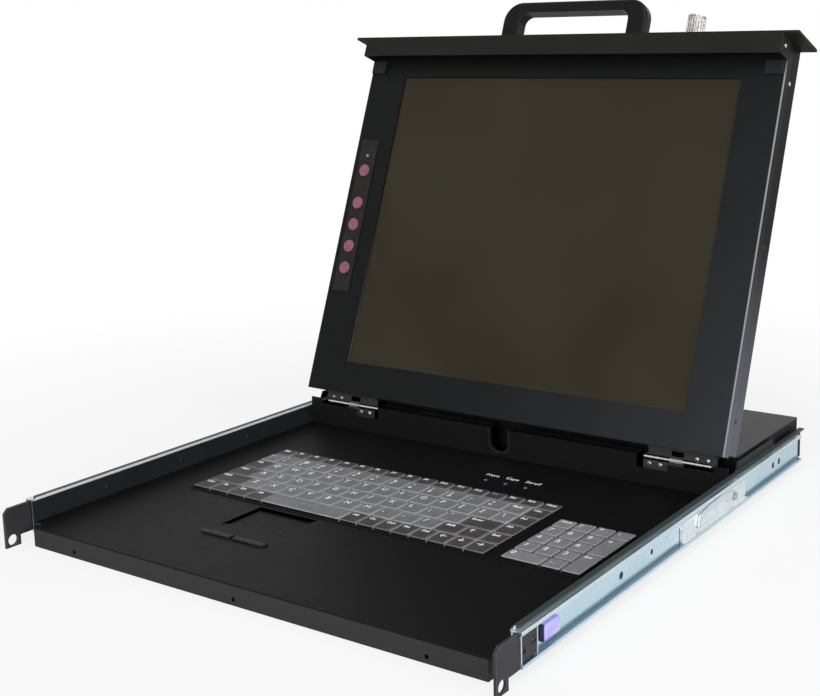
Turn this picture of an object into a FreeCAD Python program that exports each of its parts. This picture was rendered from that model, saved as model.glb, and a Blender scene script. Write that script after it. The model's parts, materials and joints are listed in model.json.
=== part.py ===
"""Rackmount LCD console drawer: a sliding keyboard tray whose lid is a flat LCD.

Frame: X to the right, Y to the back, Z up, in millimetres.  The origin is in
the middle of the tray's front lip, on the plane that the tray rests on.  The
drawer is modelled pushed home, with the LCD lid raised.

LCD pieces are drawn in the lid's own frame, upright, with its origin on the
hinge axis, and are then leaned back by lcd_tilt.
"""
import FreeCAD, Part
import Sketcher
import math
import os

DRIVING_SIZES = [
    # alias, millimetres or degrees, meaning
    ("sheet", 1.2, "sheet metal of tray, walls and rear housing"),
    ("seat_gap", 0.4, "clearance between pieces that must not touch"),
    ("run_gap", 0.05, "radial play of a turning fit"),
    ("slide_gap", 0.3, "side play between the sliding members"),
    ("tray_depth", 457, "tray, front to back"),
    ("deck_top", 14, "height of the deck that carries the keyboard"),
    ("lip_round", 1.6, "rounding of the front lip's upper edge"),
    ("wall_step", 9.5, "side wall's reach beyond the lower pan"),
    ("wall_front", 8, "front end of the side walls"),
    ("wall_bottom", 7.3, "lower edge of the side walls"),
    ("wall_cap", 3.3, "reach of the wall's upper fold over the slide member"),
    ("wall_round", 4, "rounded upper corner of the wall's front end"),
    ("tab_top", 39, "upper edge of the raised tab beside the rear housing"),
    ("tab_front", 325, "front of that tab"),
    ("tab_length", 70, "length of that tab"),
    ("lip_hole_x", 156.2, "outer holes in the front lip, from the middle"),
    ("lip_hole_z", 4.4, "height of the holes in the front lip"),
    ("lip_hole_radius", 1.6, "holes in the front lip"),
    ("member_sheet", 0.9, "sheet of the drawer's slide member"),
    ("member_back", 440, "rear end of the slide member"),
    ("keeper_reach", 1.0, "reach of its lower lip under the rail"),
    ("rail_sheet", 1.1, "sheet of the rack rail"),
    ("rail_flange", 3.6, "reach of the rack rail's flanges"),
    ("rail_hem", 2.2, "thickness of the rail's hemmed lower flange"),
    ("rail_bottom", 7.3, "underside of the rack rail"),
    ("rail_top", 28.8, "upper side of the rack rail"),
    ("rail_front", 10, "front end of the rack rail"),
    ("rail_back", 445, "rear end of the rack rail"),
    ("rail_hole", 2.6, "radius of the rail's mounting holes"),
    ("rail_hole_y", 133, "front mounting hole"),
    ("rail_mark_y", 176, "small locating hole"),
    ("rear_hole_y", 390.5, "first rear mounting hole"),
    ("rear_hole_pitch", 12.8, "between the rear mounting holes"),
    ("slit_y", 217.5, "front edge of the slit in the rail's web"),
    ("slit_width", 1.4, "width of that slit"),
    ("slit_height", 12.3, "height of that slit"),
    ("ball", 0.6, "radius of a slide ball"),
    ("cage_sheet", 0.4, "thickness of the ball cage"),
    ("cage_width", 3.2, "width of the ball cage"),
    ("cage_front", 175, "front end of the ball cage"),
    ("cage_length", 110, "length of the ball cage"),
    ("cage_margin", 10, "first ball from the end of its cage"),
    ("ear_sheet", 2, "thickness of the rack ears"),
    ("ear_front", -14, "front edge of the ears"),
    ("ear_foot", -1.8, "rear edge of the ear's lower tab"),
    ("ear_tongue", 28, "rear end of the tongue that lies on the rail"),
    ("ear_corner", 3.5, "cut corner of the ear"),
    ("ear_hole", 4, "radius of the ear's mounting hole"),
    ("ear_hole_y", -8.2, "ear's mounting hole"),
    ("ear_hole_z", 5.2, "height of the ear's mounting hole"),
    ("stop_front", 34.3, "front of the plastic stop in the rail"),
    ("stop_length", 17.2, "length of the plastic stop"),
    ("stop_lift", 5.2, "lower flange to the plastic stop"),
    ("stop_height", 9.7, "height of the plastic stop"),
    ("stop_round", 1.2, "rounding of the plastic stop"),
    ("lock_front", 220, "front of the lock plate"),
    ("lock_length", 112, "length of the lock plate"),
    ("lock_height", 14.5, "height of the lock plate"),
    ("lock_sheet", 0.8, "sheet of the lock plate"),
    ("lever_y", 309.4, "pivot of the release lever"),
    ("lever_z", 17.3, "height of that pivot"),
    ("lever_length", 65, "pivot to the nose of the release lever"),
    ("lever_width", 5, "width of the release lever"),
    ("lever_sheet", 1, "thickness of the release lever"),
    ("lever_pin", 2, "radius of the lever's rivet"),
    ("lever_head", 3, "radius of the rivet's head"),
    ("hinge_y", 316, "hinge axis of the LCD"),
    ("hinge_z", 34.6, "height of the hinge axis"),
    ("rod", 2.3, "radius of the hinge rod"),
    ("rod_inset", 16.5, "side wall to the hinge rod's outer end"),
    ("rod_length", 58, "length of the hinge rod"),
    ("knuckle", 3.3, "outer radius of the chassis knuckle"),
    ("knuckle_inset", 23, "rod's inner end to the chassis knuckle"),
    ("knuckle_width", 10, "width of the chassis knuckle"),
    ("lcd_leaf_front", 3.4, "reach of the LCD leaf's foot before the hinge axis"),
    ("lcd_leaf_back", 4.2, "reach of that foot behind the hinge axis"),
    ("leaf_sheet", 1.5, "thickness of the chassis leaf"),
    ("leaf_bottom", 18, "lower edge of the chassis leaf"),
    ("leaf_top", 33.4, "upper edge of the chassis leaf"),
    ("bulkhead_y", 309, "front face of the bulkhead"),
    ("bulkhead_top", 38, "upper edge of the bulkhead"),
    ("bulkhead_flange", 11, "depth of the bulkhead's upper flange"),
    ("window_margin", 4.5, "hinge window's reach past the ends of the rod"),
    ("window_low", 26.8, "sill of the window's inner part"),
    ("window_high", 32.6, "sill of the window's outer part"),
    ("notch_half", 11, "half width of the cable notch"),
    ("notch_bottom", 16.5, "bottom of the cable notch"),
    ("notch_round", 9, "rounding of the notch's lower corners"),
    ("grommet", 2, "thickness of the notch's edging"),
    ("housing_front", 331, "front of the rear housing"),
    ("housing_play", 2.1, "side wall to the rear housing"),
    ("housing_top", 41, "upper side of the rear housing"),
    ("lcd_tilt", 20.9, "lean of the raised LCD from upright"),
    ("lcd_play", 1, "side wall to the LCD"),
    ("lcd_front", 17.5, "hinge axis to the LCD's front"),
    ("lcd_bottom", 8.6, "hinge axis to the LCD's lower edge"),
    ("lcd_height", 330.7, "LCD, lower edge to front panel"),
    ("lcd_depth", 27, "thickness of the LCD"),
    ("bezel_depth", 9, "depth of the bezel, front to parting line"),
    ("bezel_face", 2.4, "thickness of the bezel's front"),
    ("bezel_round", 2, "rounding of the bezel's upright edges"),
    ("shell", 1.6, "wall of bezel and back cover"),
    ("cover_lift", 0.8, "step of the back cover inside the bezel"),
    ("bezel_left", 41.2, "bezel, left of the screen"),
    ("bezel_right", 36.8, "bezel, right of the screen"),
    ("screen_low", 28.4, "LCD's lower edge to the screen"),
    ("bezel_top", 31.5, "bezel, above the screen"),
    ("screen_inset", 1.4, "bezel's front to the screen"),
    ("module_depth", 9, "depth of the LCD module"),
    ("module_border", 9, "border of the LCD module round the screen"),
    ("panel_wing", 12.5, "front panel's reach past the LCD's side"),
    ("panel_sheet", 2, "thickness of the front panel"),
    ("panel_above", 16.6, "front panel's reach in front of the LCD"),
    ("panel_height", 43.7, "height of the front panel, one rack unit"),
    ("skirt_sheet", 1.5, "sheet of the skirt behind the front panel"),
    ("skirt_depth", 16, "depth of the skirt"),
    ("handle_middle", 3.7, "middle of the handle"),
    ("handle_half", 72.7, "half length of the handle"),
    ("handle_reach", 37.6, "handle's reach from the front panel"),
    ("handle_bar", 10.6, "thickness of the handle's bar"),
    ("handle_leg", 17.4, "width of the handle's legs"),
    ("handle_width", 12, "handle, across"),
    ("handle_corner", 18, "outer corner radius of the handle"),
    ("handle_ease", 3, "rounding of the handle's edges"),
    ("knob_x", 121, "middle of the thumb screw"),
    ("knob", 7.7, "radius of the thumb screw's head"),
    ("knob_length", 17, "length of that head"),
    ("knob_collar", 5.2, "radius of its collar"),
    ("knob_stand", 4, "length of its collar"),
    ("knob_flutes", 20, "grooves round the head"),
    ("flute", 0.9, "radius of a groove"),
    ("pad_long", 17, "corner pad, along the bezel"),
    ("pad_high", 12.5, "corner pad, up the bezel"),
    ("pad_thick", 2.4, "corner pad, thickness"),
    ("pad_drop", 15.9, "LCD's upper edge to the corner pads"),
    ("strip_inset", 6.5, "bezel's side to the button strip"),
    ("strip_wide", 19, "width of the button strip"),
    ("strip_low", 92, "LCD's lower edge to the button strip"),
    ("strip_high", 145, "length of the button strip"),
    ("strip_thick", 0.8, "thickness of the button strip"),
    ("button", 5.6, "radius of a button"),
    ("button_rise", 1.7, "button's front before the bezel"),
    ("button_play", 0.3, "clearance round a button"),
    ("power_button_v", 207.3, "LCD's lower edge to the power button"),
    ("menu_button_v", 176, "LCD's lower edge to the highest menu button"),
    ("menu_pitch", 20.7, "between the menu buttons"),
    ("led_v", 221.7, "LCD's lower edge to the power light"),
    ("led", 1.5, "radius of an indicator light"),
    ("margin_left", 33, "pan's left side to the main key block"),
    ("margin_right", 12.44, "numeric pad to the pan's right side"),
    ("board_gap", 10.8, "main key block to the numeric pad"),
    ("board_back", 228.8, "rear edge of the main key block"),
    ("key_unit", 18.9, "width of a letter key with its gap"),
    ("key_row", 18.5, "depth of a key row"),
    ("top_row", 15, "depth of the function key row"),
    ("top_keys", 17, "number of function keys"),
    ("side_column", 18, "width of the right-hand key column"),
    ("board_width", 280, "width of the main key block"),
    ("key_gap", 1.1, "gap between keys"),
    ("key_lean", 0.9, "taper of a key on each side"),
    ("key_top", 16.5, "height of the key tops"),
    ("key_height", 4.2, "height of a key"),
    ("key_travel", 2, "travel of a key"),
    ("stem", 3, "width of a key's stem"),
    ("stem_hold", 1, "stem's reach into its well at rest"),
    ("stem_play", 0.2, "clearance of a stem in its well"),
    ("board_border", 2, "frame round the keys"),
    ("board_base", 3, "underside of the keyboard base"),
    ("board_floor", 9.5, "upper side of the keyboard base"),
    ("pad_back_y", 205, "rear edge of the numeric pad"),
    ("pad_unit", 15.94, "width of a numeric key with its gap"),
    ("pad_row", 16.25, "depth of a numeric row"),
    ("touch_inset", 79, "key block's left edge to the touchpad's opening"),
    ("touch_width", 57, "width of the touchpad's opening"),
    ("touch_back", 116.1, "rear edge of the touchpad's opening"),
    ("touch_depth", 40.5, "depth of the touchpad's opening"),
    ("touch_bevel", 2.4, "width of the bevelled rim"),
    ("touch_sink", 1.6, "deck to the touchpad's surface"),
    ("touch_button_back", 62.4, "rear edge of the touchpad buttons"),
    ("touch_button_deep", 6.2, "depth of the touchpad buttons"),
    ("touch_button_reach", 2.5, "buttons' reach past the sides of the touchpad"),
    ("touch_button_gap", 3, "between the touchpad buttons"),
    ("touch_button_round", 4.2, "rounded outer end of a touchpad button"),
    ("touch_button_rise", 1.3, "height of those buttons over the deck"),
    ("light_inset", 88.5, "key block's right edge to the first lock light"),
    ("light_behind", 23.9, "key block's rear edge to the lock lights"),
    ("screw", 2.6, "radius of a machine screw's head"),
    ("small_screw", 1.9, "radius of a small screw's head"),
    ("screw_rise", 0.7, "height of a screw head"),
    ("rivet", 2.2, "radius of a rivet's head"),
    ("rivet_rise", 0.6, "height of a rivet's head"),
    ("board_sheet", 1.6, "thickness of a circuit board"),
    ("board_post", 3, "radius of the posts under the control board"),
    ("chip", 24, "side of the large chips on the control board"),
]

doc = FreeCAD.newDocument("console_drawer")
table = doc.addObject("Spreadsheet::Sheet", "Sizes")


def number_text(number):
    """A number as text that the sheet and the formulas can read."""
    return format(float(number), ".6f")


class Size:
    """A size as a formula over the sheet, with its present value."""

    def __init__(self, text, value):
        self.text = text
        self.value = value

    def __add__(self, other):
        return Size("(" + self.text + " + " + as_size(other).text + ")", self.value + as_size(other).value)

    def __sub__(self, other):
        return Size("(" + self.text + " - " + as_size(other).text + ")", self.value - as_size(other).value)

    def __mul__(self, other):
        return Size(self.text + " * " + as_size(other).text, self.value * as_size(other).value)

    def __neg__(self):
        return Size("(0 - " + self.text + ")", -self.value)


def as_size(thing):
    """A plain number as a Size."""
    return thing if isinstance(thing, Size) else Size(number_text(thing), float(thing))


class Sizes:
    """Every driving size by name."""

    def __init__(self, rows):
        for row, (alias, value, meaning) in enumerate(rows, start=1):
            table.set("A" + str(row), alias)
            table.set("B" + str(row), number_text(value))
            table.set("C" + str(row), meaning)
            table.setAlias("B" + str(row), alias)
            setattr(self, alias, Size("Sizes." + alias, float(value)))
        doc.recompute()


S = Sizes(DRIVING_SIZES)


def bind(thing, path, size):
    """Ties one property of an object to the sheet."""
    thing.setExpression(path, as_size(size).text)


# ---------------------------------------------------------------- outlines

def box(left, low, right, high):
    """A rectangle between two corners."""
    return ("corners", [(left, low), (right, low), (right, high), (left, high)])


def corners(*points):
    """A closed outline of straight edges."""
    return ("corners", list(points))


def disc(across, up, radius):
    """A circle."""
    return ("disc", (across, up, radius))


def place_point(sketch, geometry, point, across, up):
    """Places one point of a sketch by its two coordinates."""
    for kind, size in (("DistanceX", as_size(across)), ("DistanceY", as_size(up))):
        index = sketch.addConstraint(Sketcher.Constraint(kind, geometry, point, size.value))
        bind(sketch, "Constraints[" + str(index) + "]", size)


def draw_corners(sketch, points):
    """Draws a closed outline through its corners."""
    places = [FreeCAD.Vector(as_size(a).value, as_size(b).value, 0) for a, b in points]
    first = sketch.GeometryCount
    count = len(points)
    for here, there in zip(places, places[1:] + places[:1]):
        sketch.addGeometry(Part.LineSegment(here, there), False)
    for number, (across, up) in enumerate(points):
        following = first + (number + 1) % count
        sketch.addConstraint(Sketcher.Constraint("Coincident", first + number, 2, following, 1))
        place_point(sketch, first + number, 1, across, up)


def draw_disc(sketch, across, up, radius):
    """Draws a circle."""
    centre = FreeCAD.Vector(as_size(across).value, as_size(up).value, 0)
    upward = FreeCAD.Vector(0, 0, 1)
    number = sketch.addGeometry(Part.Circle(centre, upward, as_size(radius).value), False)
    index = sketch.addConstraint(Sketcher.Constraint("Radius", number, as_size(radius).value))
    bind(sketch, "Constraints[" + str(index) + "]", radius)
    place_point(sketch, number, 3, across, up)


def draw(sketch, outlines):
    """Draws every outline into a sketch."""
    for kind, data in outlines:
        if kind == "corners":
            draw_corners(sketch, data)
        else:
            draw_disc(sketch, *data)


# ---------------------------------------------------------------- pieces

X_AXIS = FreeCAD.Vector(1, 0, 0)
Y_AXIS = FreeCAD.Vector(0, 1, 0)
Z_AXIS = FreeCAD.Vector(0, 0, 1)


def edge_names(shape, direction, keep):
    """Names of the straight edges along a direction whose middle passes keep."""
    names = []
    for number, edge in enumerate(shape.Edges, start=1):
        if edge.Curve.TypeId != "Part::GeomLine":
            continue
        along = edge.tangentAt(edge.FirstParameter)
        if abs(abs(along.dot(direction)) - 1) < 1e-6 and keep(edge.CenterOfMass):
            names.append("Edge" + str(number))
    return names


def near(value, size):
    """True where a coordinate lies on a size."""
    return abs(value - as_size(size).value) < 0.02


class Piece:
    """One sub-part: a body built up from pads, pockets and dressed edges."""

    def __init__(self, label):
        self.body = doc.addObject("PartDesign::Body", label)
        self.body.Label = label
        self.label = label

    def sketch(self, plane, start, length, outlines):
        """A sketch on the plane from which a pad fills start to start + length."""
        sketch = self.body.newObject("Sketcher::SketchObject", self.label + "_sketch")
        origin = [face for face in self.body.Origin.OriginFeatures if face.Role == plane + "_Plane"]
        sketch.AttachmentSupport = [(origin[0], "")]
        sketch.MapMode = "FlatFace"
        height = -(as_size(start) + length) if plane == "XZ" else as_size(start)
        bind(sketch, "AttachmentOffset.Base.z", height)
        draw(sketch, outlines)
        return sketch

    def pad(self, plane, start, length, *outlines):
        """Adds material from start along the plane's axis."""
        feature = self.body.newObject("PartDesign::Pad", self.label + "_pad")
        feature.Profile = self.sketch(plane, start, length, outlines)
        bind(feature, "Length", length)
        return self

    def pocket(self, plane, start, length, *outlines):
        """Removes material from start along the plane's axis."""
        doc.recompute()
        before = self.body.Shape.Volume
        feature = self.body.newObject("PartDesign::Pocket", self.label + "_pocket")
        feature.Profile = self.sketch(plane, start, length, outlines)
        feature.Reversed = True
        bind(feature, "Length", length)
        doc.recompute()
        if self.body.Shape.Volume > before - 1e-3:
            raise RuntimeError(self.label + ": a pocket cut nothing")
        return self

    def dress(self, kind, size_name, size, direction, keep):
        """Fillets or chamfers the straight edges that pass keep."""
        doc.recompute()
        tip = self.body.Tip
        names = edge_names(tip.Shape, direction, keep)
        if not names:
            raise RuntimeError(self.label + ": no edge to dress")
        feature = self.body.newObject(kind, self.label + "_edge")
        feature.Base = (tip, names)
        bind(feature, size_name, size)
        return self

    def fillet(self, radius, direction, keep):
        """Rounds edges."""
        return self.dress("PartDesign::Fillet", "Radius", radius, direction, keep)

    def chamfer(self, size, direction, keep):
        """Bevels edges."""
        return self.dress("PartDesign::Chamfer", "Size", size, direction, keep)

    def on_lcd(self):
        """Leans a piece drawn in the lid's frame back onto the tray."""
        lean_with_lcd(self.body)
        return self


def lean_with_lcd(thing):
    """Takes an object from the lid's own frame to the raised lid."""
    place = FreeCAD.Vector(0, S.hinge_y.value, S.hinge_z.value)
    turn = FreeCAD.Rotation(FreeCAD.Vector(-1, 0, 0), S.lcd_tilt.value)
    thing.Placement = FreeCAD.Placement(place, turn)
    bind(thing, "Placement.Base.y", S.hinge_y)
    bind(thing, "Placement.Base.z", S.hinge_z)
    bind(thing, "Placement.Rotation.Angle", S.lcd_tilt)


subparts = []


def keep_part(thing, label):
    """Lists an object as a sub-part under its own name."""
    if thing.Label != label:
        thing.Label = label
    subparts.append(thing)
    return thing


def keep_piece(piece):
    """Lists a body as a sub-part."""
    return keep_part(piece.body, piece.label)


def keep_pair(piece, name):
    """Lists a right-hand piece and its mirror image on the left."""
    keep_part(piece, name + "_right")
    mirror = doc.addObject("Part::Mirroring", name + "_left")
    mirror.Source = piece
    mirror.Normal = X_AXIS
    keep_part(mirror, name + "_left")


def keep_both(piece, label):
    """Lists a right-hand piece and its mirror image as one node."""
    mirror = doc.addObject("Part::Mirroring", label + "_mirror")
    mirror.Source = piece
    mirror.Normal = X_AXIS
    keep_part(group(label, [piece, mirror]), label)


TURNS = {
    "X": FreeCAD.Rotation(Y_AXIS, 90),
    "Y": FreeCAD.Rotation(X_AXIS, -90),
    "Z": FreeCAD.Rotation(),
}


def cylinder(label, axis, radius, length, at):
    """A cylinder from a point along +X, +Y or +Z."""
    thing = doc.addObject("Part::Cylinder", label)
    thing.Placement = FreeCAD.Placement(FreeCAD.Vector(), TURNS[axis])
    bind(thing, "Radius", radius)
    bind(thing, "Height", length)
    for name, size in zip(("x", "y", "z"), at):
        bind(thing, "Placement.Base." + name, size)
    return thing


def group(label, things):
    """Equal pieces as separate solids of one node."""
    compound = doc.addObject("Part::Compound", label)
    compound.Links = things
    return compound


def heads(label, axis, radius, rise, places):
    """A group of equal screw or rivet heads."""
    return group(label, [cylinder(label + "_head", axis, radius, rise, at) for at in places])


# ---------------------------------------------------------------- shared places

board_span = S.board_width + S.board_gap + S.pad_unit * 4
tray_half = (S.margin_left + board_span + S.margin_right) * 0.5
board_left = S.margin_left - tray_half
pad_left = board_left + S.board_width + S.board_gap
touch_left = board_left + S.touch_inset
wall_inner = tray_half + S.wall_step
wall_outer = wall_inner + S.sheet
member_outer = wall_outer + S.member_sheet
web_inner = member_outer + S.slide_gap
web_outer = web_inner + S.rail_sheet
flange_tip = web_outer + S.rail_flange
groove_low = S.rail_bottom + S.rail_hem
groove_high = S.rail_top - S.rail_sheet
rail_middle = (S.rail_bottom + S.rail_top) * 0.5
ball_play = S.run_gap * 2
ball_space = S.ball * 2 + ball_play
member_top = S.rail_top + ball_space
wall_top = member_top + S.member_sheet
wall_edge = wall_top + S.sheet
ball_level = S.rail_top + ball_space * 0.5
ball_x = web_outer + S.rail_flange * 0.4
cage_spacing = (S.cage_length - S.cage_margin * 2) * 0.2
deck_under = S.deck_top - S.sheet
rod_outer = wall_inner - S.rod_inset
rod_inner = rod_outer - S.rod_length
knuckle_inner = rod_inner + S.knuckle_inset
knuckle_outer = knuckle_inner + S.knuckle_width
window_inner = rod_inner - S.window_margin
window_outer = rod_outer + S.window_margin
housing_half = wall_inner - S.housing_play
lcd_half = wall_inner - S.lcd_play
screen_left = lcd_half - S.bezel_left
screen_right = lcd_half - S.bezel_right
strip_left = lcd_half - S.strip_inset
button_x = strip_left - S.strip_wide * 0.5
panel_half = lcd_half + S.panel_wing
lcd_face = -S.lcd_front
lcd_back = S.lcd_depth - S.lcd_front
lcd_top = S.lcd_bottom + S.lcd_height
screen_high = S.lcd_height - S.bezel_top
top_unit = S.board_width * (1 / S.top_keys.value)
parting = lcd_face + S.bezel_depth
panel_front_edge = lcd_face - S.panel_above
panel_outer = lcd_top + S.panel_sheet
screen_level = lcd_face + S.screen_inset
leaf_face = S.sheet * -0.5


# ---------------------------------------------------------------- rack side

def rack_rail():
    """The zinc C rail that is screwed to the rack, open outwards."""
    rail = Piece("rack_rail")
    rail.pad("XZ", S.rail_front, S.rail_back - S.rail_front, corners(
        (web_inner, S.rail_bottom), (flange_tip, S.rail_bottom), (flange_tip, groove_low),
        (web_outer, groove_low), (web_outer, groove_high), (flange_tip, groove_high),
        (flange_tip, S.rail_top), (web_inner, S.rail_top)))
    rail.pocket("YZ", web_inner, S.rail_sheet,
                disc(S.rail_hole_y, rail_middle, S.rail_hole),
                disc(S.rail_mark_y, rail_middle + S.rail_sheet, S.small_screw),
                disc(S.rear_hole_y, rail_middle, S.rail_hole),
                disc(S.rear_hole_y + S.rear_hole_pitch, rail_middle, S.rail_hole),
                box(S.slit_y, groove_low, S.slit_y + S.slit_width, groove_low + S.slit_height))
    rail.fillet(S.rail_sheet * 0.8, Y_AXIS, lambda at: near(at.x, web_inner)
                and (near(at.z, S.rail_bottom) or near(at.z, S.rail_top)))
    keep_pair(rail.body, "rack_rail")


def rack_ear():
    """The ear plate: a tongue on the rail's web and a plate in front of it."""
    before_rail = S.rail_front - S.seat_gap
    tongue_low = groove_low + S.sheet
    tongue_high = groove_high - S.sheet
    ear_top = member_top - S.seat_gap
    ear = Piece("rack_ear")
    ear.pad("YZ", web_outer, S.ear_sheet,
            corners((S.ear_front, 0), (S.ear_foot, 0), (S.ear_foot, S.rail_bottom),
                    (before_rail, S.rail_bottom), (before_rail, tongue_low),
                    (S.ear_tongue, tongue_low), (S.ear_tongue, tongue_high),
                    (before_rail, tongue_high), (before_rail, ear_top), (S.ear_front, ear_top)),
            disc(S.ear_hole_y, S.ear_hole_z, S.ear_hole))
    ear.chamfer(S.ear_corner, X_AXIS, lambda at: near(at.y, S.ear_front) and near(at.z, ear_top))
    keep_pair(ear.body, "rack_ear")


def ear_screws():
    """Two screws that hold each ear to its rail."""
    outside = web_outer + S.ear_sheet
    low = (S.rail_front + S.rail_hole + S.sheet, rail_middle - S.sheet)
    high = (S.ear_tongue - S.screw - S.seat_gap, rail_middle + S.sheet)
    places = [(outside, y, z) for y, z in (low, high)]
    places += [(-(outside + S.screw_rise), y, z) for y, z in (low, high)]
    keep_part(heads("ear_screws", "X", S.screw, S.screw_rise, places), "ear_screws")


def slide_stop():
    """The plastic stop that sits in the rail behind the ear."""
    low = groove_low + S.stop_lift
    stop = Piece("slide_stop")
    stop.pad("YZ", web_outer, S.rail_flange - S.seat_gap,
             box(S.stop_front, low, S.stop_front + S.stop_length, low + S.stop_height))
    stop.fillet(S.stop_round, X_AXIS, lambda at: True)
    keep_both(stop.body, "slide_stops")


def lock_plate():
    """The plate of the drawer lock, folded over the rail's lower flange."""
    high = groove_low + S.lock_height
    inner = web_outer + S.lock_sheet
    fold = groove_low + S.lock_sheet
    plate = Piece("lock_plate")
    plate.pad("XZ", S.lock_front, S.lock_length, corners(
        (web_outer, groove_low), (flange_tip - S.seat_gap, groove_low), (flange_tip - S.seat_gap, fold),
        (inner, fold), (inner, high), (web_outer, high)))
    plate.pocket("YZ", web_outer, S.lock_sheet,
                 disc(S.lever_y - S.lock_length * 0.28, rail_middle, S.rail_hole),
                 disc(S.lever_y + S.cage_margin, rail_middle, S.small_screw))
    plate.fillet(S.lock_height * 0.3, X_AXIS, lambda at: near(at.z, high))
    keep_both(plate.body, "lock_plates")


def release_lever():
    """The curved lever that frees the drawer, with its rivet."""
    inside = web_outer + S.lock_sheet + S.slide_gap
    y = S.lever_y
    z = S.lever_z
    wide = S.lever_width
    nose = y - S.lever_length
    bend = nose + wide * 4
    elbow = y - wide * 4
    lever = Piece("release_lever")
    lever.pad("YZ", inside, S.lever_sheet,
              corners((nose, z - wide), (nose + wide * 0.8, z - wide), (nose + wide * 1.2, z),
                      (bend, z + wide * 0.45), (elbow, z + wide * 0.6), (y - wide, z - wide * 0.8),
                      (y + wide, z - wide * 0.7), (y + wide * 1.1, z + wide * 0.65), (y - wide, z + wide),
                      (elbow, z + wide * 1.65), (bend, z + wide * 1.45), (nose + wide * 0.6, z + wide)),
              disc(y, z, S.lever_pin + S.run_gap))
    lever.fillet(S.lever_sheet * 2, X_AXIS, lambda at: at.y < nose.value + 1 or at.y > y.value)
    keep_pair(lever.body, "release_lever")

    rivet = Piece("lever_rivet")
    neck = S.slide_gap + S.lever_sheet + S.slide_gap
    rivet.pad("YZ", inside - S.slide_gap, neck, disc(S.lever_y, S.lever_z, S.lever_pin))
    rivet.pad("YZ", inside - S.slide_gap + neck, S.rivet_rise, disc(S.lever_y, S.lever_z, S.lever_head))
    keep_both(rivet.body, "lever_rivets")


# ---------------------------------------------------------------- slides

def slide_member():
    """The drawer's own slide member, hooked over and under the rack rail."""
    low = S.rail_bottom - S.seat_gap
    keeper = member_outer + S.keeper_reach
    lip = flange_tip + S.seat_gap
    tip = lip + S.member_sheet
    member = Piece("slide_member")
    member.pad("XZ", S.wall_front, S.member_back - S.wall_front, corners(
        (wall_outer, low - S.member_sheet), (keeper, low - S.member_sheet), (keeper, low),
        (member_outer, low), (member_outer, member_top), (lip, member_top), (lip, S.rail_top),
        (tip, S.rail_top), (tip, wall_top), (wall_outer, wall_top)))
    member.fillet(S.member_sheet * 0.8, Y_AXIS, lambda at: near(at.x, tip) and near(at.z, wall_top))
    keep_pair(member.body, "slide_member")


def ball_cage():
    """The ball cage between rail and slide member, with its balls."""
    half = S.cage_width * 0.5
    stations = [S.cage_front + S.cage_margin + cage_spacing * number for number in range(6)]
    cage = Piece("ball_cage")
    cage.pad("XY", ball_level - S.cage_sheet * 0.5, S.cage_sheet,
             box(ball_x - half, S.cage_front, ball_x + half, S.cage_front + S.cage_length),
             *[disc(ball_x, y, S.ball + S.run_gap) for y in stations])
    keep_both(cage.body, "ball_cages")

    balls = []
    for side in (ball_x, -ball_x):
        for y in stations:
            ball = doc.addObject("Part::Sphere", "ball")
            bind(ball, "Radius", S.ball)
            for name, size in (("x", side), ("y", y), ("z", ball_level)):
                bind(ball, "Placement.Base." + name, size)
            balls.append(ball)
    keep_part(group("slide_balls", balls), "slide_balls")


# ---------------------------------------------------------------- tray

def board_opening():
    """The opening in the deck for the main key block."""
    edge = S.board_border
    front = S.board_back - S.top_row - S.key_row * 5
    return (board_left - edge, front - edge, board_left + S.board_width + edge, S.board_back + edge)


def number_opening():
    """The opening in the deck for the numeric keys."""
    edge = S.board_border
    return (pad_left - edge, S.pad_back_y - S.pad_row * 5 - edge,
            pad_left + S.pad_unit * 4 + edge, S.pad_back_y + edge)


def touch_opening():
    """The opening in the deck for the touchpad."""
    return (touch_left, S.touch_back - S.touch_depth, touch_left + S.touch_width, S.touch_back)


def touch_button_span(number):
    """Left and right end of a touchpad button."""
    width = (S.touch_width - S.touch_button_gap) * 0.5 + S.touch_button_reach
    left = touch_left - S.touch_button_reach + (width + S.touch_button_gap) * number
    return left, left + width


def tray_pan():
    """The tray: deck, front lip and the walls of the lower pan."""
    inside = tray_half - S.sheet
    play = S.button_play
    button_low = S.touch_button_back - S.touch_button_deep - play
    spans = [touch_button_span(number) for number in range(2)]
    ends = (spans[0][0] - play, spans[1][1] + play)
    pan = Piece("tray_pan")
    pan.pad("XY", deck_under, S.sheet,
            corners((-tray_half, 0), (tray_half, 0), (tray_half, S.wall_front),
                    (wall_inner, S.wall_front), (wall_inner, S.tray_depth),
                    (-wall_inner, S.tray_depth), (-wall_inner, S.wall_front),
                    (-tray_half, S.wall_front)),
            box(*board_opening()), box(*number_opening()), box(*touch_opening()),
            *[box(left - play, button_low, right + play, S.touch_button_back + play)
              for left, right in spans])
    pan.fillet(S.touch_button_round + play, Z_AXIS, lambda at: near(at.y, button_low)
               and (near(at.x, ends[0]) or near(at.x, ends[1])))
    pan.pad("XY", 0, deck_under, box(-tray_half, 0, tray_half, S.tray_depth),
            box(-inside, S.sheet, inside, S.tray_depth - S.sheet))
    pan.pocket("XZ", 0, S.sheet, disc(-S.lip_hole_x, S.lip_hole_z, S.lip_hole_radius),
               disc(0, S.lip_hole_z, S.lip_hole_radius),
               disc(S.lip_hole_x, S.lip_hole_z, S.lip_hole_radius))
    pan.fillet(S.lip_round, X_AXIS, lambda at: near(at.y, 0) and near(at.z, S.deck_top))
    keep_piece(pan)


def bottom_cover():
    """The plate that closes the lower pan from below."""
    edge = tray_half - S.sheet - S.seat_gap * 0.5
    front = S.sheet + S.seat_gap * 0.5
    back = S.tray_depth - front
    cover = Piece("bottom_cover")
    cover.pad("XY", 0, S.sheet, box(-edge, front, edge, back))
    keep_piece(cover)


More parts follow.
